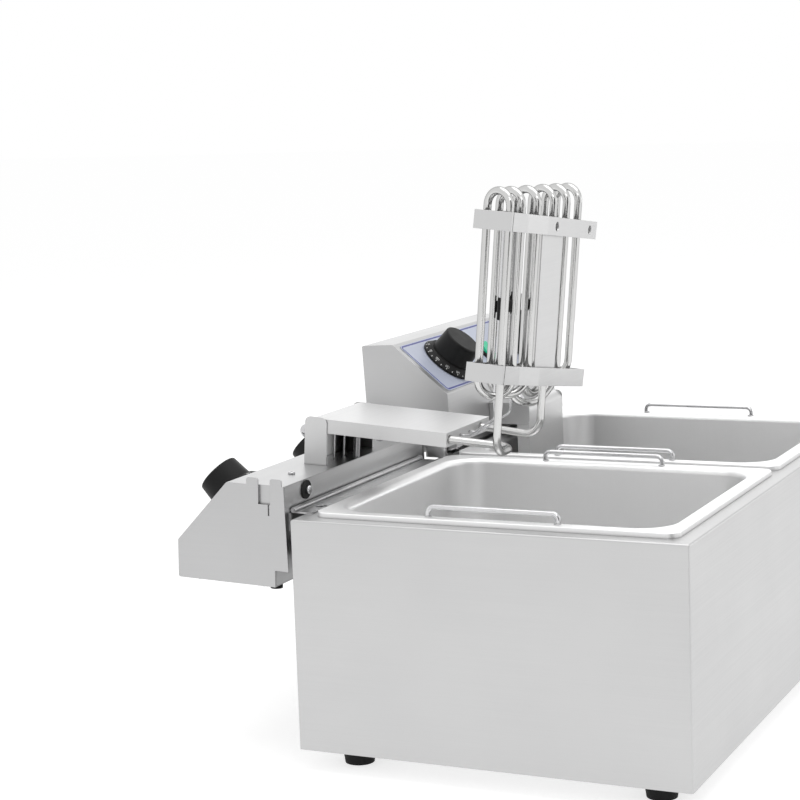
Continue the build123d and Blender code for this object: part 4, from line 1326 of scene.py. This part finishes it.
@dataclass
class MiddleBracket:
    """The folded bracket on the deck's back edge, between the two heads."""

    wide: float = 9.0 * MM
    deck: float = 240.0 * MM
    back_wall: float = 121.7 * MM
    foot_long: float = 18.0 * MM
    foot_thick: float = 1.5 * MM
    block_start: float = -8.0 * MM
    block_end: float = 14.0 * MM
    block_high: float = 14.0 * MM
    edge: float = 1.2 * MM

    def part(self, start: float, end: float, high: float) -> Piece:
        """One part of the bracket, with rounded edges.

        Args:
            start: Where it starts, behind the back wall.
            end: Where it ends, behind the back wall.
            high: How high it stands above the deck.

        Returns:
            The part.
        """
        middle = (0.0, self.back_wall + (start + end) / 2, self.deck + high / 2)
        return block((self.wide, end - start, high), middle, min(self.edge, high / 3), steps=3)

    def build(self, paint: Paintbox) -> Piece:
        """Sets the bracket on the deck.

        Args:
            paint: The finishes.

        Returns:
            The bracket as one piece.
        """
        foot = self.part(-self.foot_long, 0.0, self.foot_thick)
        stand = self.part(self.block_start, self.block_end, self.block_high)
        piece = joined([foot, stand], "middle_bracket")
        paint.dress(piece, paint.material(STEEL_HINGE))
        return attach(piece, "cabinet")


@dataclass
class Head:
    """One control head: its label, dials, screws, stud, sensor clip and painted shadows in its clamp gaps."""

    side: Side
    screws: PanScrews = field(default_factory=PanScrews)
    stud: StudThread = field(default_factory=StudThread)
    clip: SensorClip = field(default_factory=SensorClip)
    gap_shadows: ClampGapShadows = field(default_factory=ClampGapShadows)
    thermostat: DialScale = field(default_factory=DialScale)
    timer: DialScale = field(
        default_factory=lambda: DialScale("timer", 103.0 * MM, numbers=("5", "10", "15", "20", "25", "30"))
    )

    def build(self, paint: Paintbox) -> list[Piece]:
        """Dresses the head and adds its small pieces.

        Args:
            paint: The finishes.

        Returns:
            The new pieces.
        """
        place = HeadPlace(self.side)
        label = frame["nodes"][f"{self.side.value}_label_plate"]
        paint.dress(label, LABEL_PRINT.make(paint.groups, place.panel(0.0, place.sizes.label_middle)))
        dials = [dial.build(place, paint) for dial in (self.thermostat, self.timer)]
        fittings = [part.build(place, paint) for part in (self.screws, self.stud, self.clip, self.gap_shadows)]
        return [*fittings, *dials]


# Studio

MATT = 0.9
WHITE = (1.0, 1.0, 1.0, 1.0)


@dataclass(frozen=True)
class Lamp:
    """A softbox."""

    name: str
    place: Triple
    aim: Triple
    width: float
    power: float
    in_shot: bool = True

    def hang(self) -> None:
        """Hangs the lamp in the scene."""
        data = bpy.data.lights.new(self.name, "AREA")
        data.shape = "SQUARE"
        data.size = self.width
        data.energy = self.power
        lamp = bpy.data.objects.new(self.name, data)
        bpy.context.scene.collection.objects.link(lamp)
        lamp.location = self.place
        lamp.rotation_euler = (Vector(self.aim) - Vector(self.place)).to_track_quat("-Z", "Y").to_euler()
        lamp.visible_camera = self.in_shot


@dataclass(frozen=True)
class Card:
    """A dark card out of shot that draws dark lines into bright tubes."""

    name: str
    place: Triple
    width: float
    height: float
    dark: Colour = (0.02, 0.02, 0.02)
    worn: Colour = (0.04, 0.04, 0.04)
    nap_scale: float = 40.0

    def stand(self) -> None:
        """Stands the card upright, facing the middle of the studio."""
        clear_selection()
        facing = math.atan2(self.place[1], self.place[0]) + math.pi / 2
        bpy.ops.mesh.primitive_plane_add(size=1.0, location=self.place, rotation=(math.pi / 2, 0.0, facing))
        card = newest()
        card.name = self.name
        card.scale = (self.width, self.height, 1.0)
        material, wires, shader, place = new_material(self.name)
        nap = wires.noise(place, self.nap_scale, 2.0)
        wires.feed(shader, "Base Color", wires.blend(nap, rgba(self.dark), rgba(self.worn)))
        shader.inputs["Roughness"].default_value = MATT
        card.data.materials.append(material)
        card.visible_camera = False
        card.visible_shadow = False
        card.visible_diffuse = False


@dataclass
class Studio:
    """A white studio with soft light, and the camera at the photograph's angle."""

    camera_place: Triple = (-1.991, -0.7809, 0.625)
    heading: float = math.radians(25.43)
    dip: float = math.radians(8.37)
    roll: float = math.radians(2.06)
    focal: float = 93.06
    sensor: float = 36.0
    far: float = 100.0
    ambient: float = 0.55
    floor_size: float = 40.0
    floor_colour: Colour = (0.60, 0.60, 0.60)
    floor_cloud: Colour = (0.61, 0.61, 0.61)
    floor_nap: float = 30.0
    floor_seen: float = 0.66
    lamps: tuple[Lamp, ...] = (
        Lamp("overhead", (0.0, -0.2, 2.6), (0.0, -0.1, 0.2), 2.4, 22.0),
        Lamp("camera_side", (-2.2, -1.6, 1.8), (0.0, 0.0, 0.3), 1.6, 12.0),
        Lamp("behind", (2.8, 1.4, 1.2), (0.0, 0.0, 0.3), 3.0, 11.0, in_shot=False),
        Lamp("right", (2.3, -1.9, 0.7), (0.0, 0.0, 0.4), 0.8, 3.6, in_shot=False),
    )
    cards: tuple[Card, ...] = (
        Card("card_camera", (-1.88, -1.79, 0.8), 1.6, 2.2),
    )

    def place_camera(self) -> None:
        """Sets the camera where the photograph was taken from."""
        level = math.cos(self.dip)
        ahead = Vector((math.cos(self.heading) * level, math.sin(self.heading) * level, -math.sin(self.dip)))
        level_right = Vector((math.sin(self.heading), -math.cos(self.heading), 0.0))
        level_up = level_right.cross(ahead)
        right = math.cos(self.roll) * level_right - math.sin(self.roll) * level_up
        up = math.sin(self.roll) * level_right + math.cos(self.roll) * level_up
        turn = Matrix((right, up, -ahead)).transposed().to_4x4()
        data = bpy.data.cameras.new("camera")
        data.lens = self.focal
        data.sensor_width = self.sensor
        data.clip_end = self.far
        camera = bpy.data.objects.new("camera", data)
        bpy.context.scene.collection.objects.link(camera)
        camera.matrix_world = Matrix.Translation(self.camera_place) @ turn
        bpy.context.scene.camera = camera

    def seen(self, wires: Wiring) -> Socket:
        """Tells what is looked at, directly or in metal, from what only receives light.

        Args:
            wires: The wiring of the world or a material.

        Returns:
            1 for rays from the camera, off gloss or through glass, else 0.
        """
        rays = wires.add("ShaderNodeLightPath").outputs
        direct = wires.maths("MAXIMUM", rays["Is Camera Ray"], rays["Is Glossy Ray"])
        return wires.maths("MAXIMUM", direct, rays["Is Transmission Ray"])

    def light_world(self) -> None:
        """A white surround that metal and the camera see, and softer light for the rest."""
        world = bpy.data.worlds.new("studio")
        bpy.context.scene.world = world
        world.use_nodes = True
        wires = Wiring(world.node_tree)
        ground = world.node_tree.nodes["Background"]
        wires.feed(ground, "Strength", wires.ramp(self.seen(wires), 0.0, 1.0, self.ambient, 1.0))
        ground.inputs["Color"].default_value = WHITE

    def lay_floor(self) -> None:
        """A floor that looks white where it is lit and keeps the fryer's shadow."""
        clear_selection()
        bpy.ops.mesh.primitive_plane_add(size=self.floor_size, location=(0, 0, 0))
        floor = newest()
        floor.name = "floor"
        material, wires, shader, place = new_material("floor")
        nap = wires.noise(place, self.floor_nap, 2.0)
        wires.feed(shader, "Base Color", wires.blend(nap, rgba(self.floor_colour), rgba(self.floor_cloud)))
        shader.inputs["Emission Color"].default_value = WHITE
        wires.feed(shader, "Emission Strength", wires.maths("MULTIPLY", self.seen(wires), self.floor_seen))
        shader.inputs["Roughness"].default_value = MATT
        shader.inputs["Specular IOR Level"].default_value = 0.0
        floor.data.materials.append(material)

    def build(self) -> None:
        """Sets up the whole studio."""
        self.place_camera()
        self.light_world()
        self.lay_floor()
        for lamp in self.lamps:
            lamp.hang()
        for card in self.cards:
            card.stand()
        bpy.context.scene.view_settings.view_transform = "Standard"


def main() -> None:
    """Builds the scene in order and reports each piece."""
    logging.basicConfig(level=logging.INFO)
    Studio().build()
    paint = Paintbox()
    paint.dress_nodes(frame["nodes"])
    pieces = [HandleWelds().build(paint), MiddleBracket().build(paint)]
    for side in Side:
        pieces += Head(side).build(paint)
    for piece in pieces:
        LOG.info("%s: %d faces", piece.name, len(piece.data.polygons))


if __name__ == "__main__":
    main()
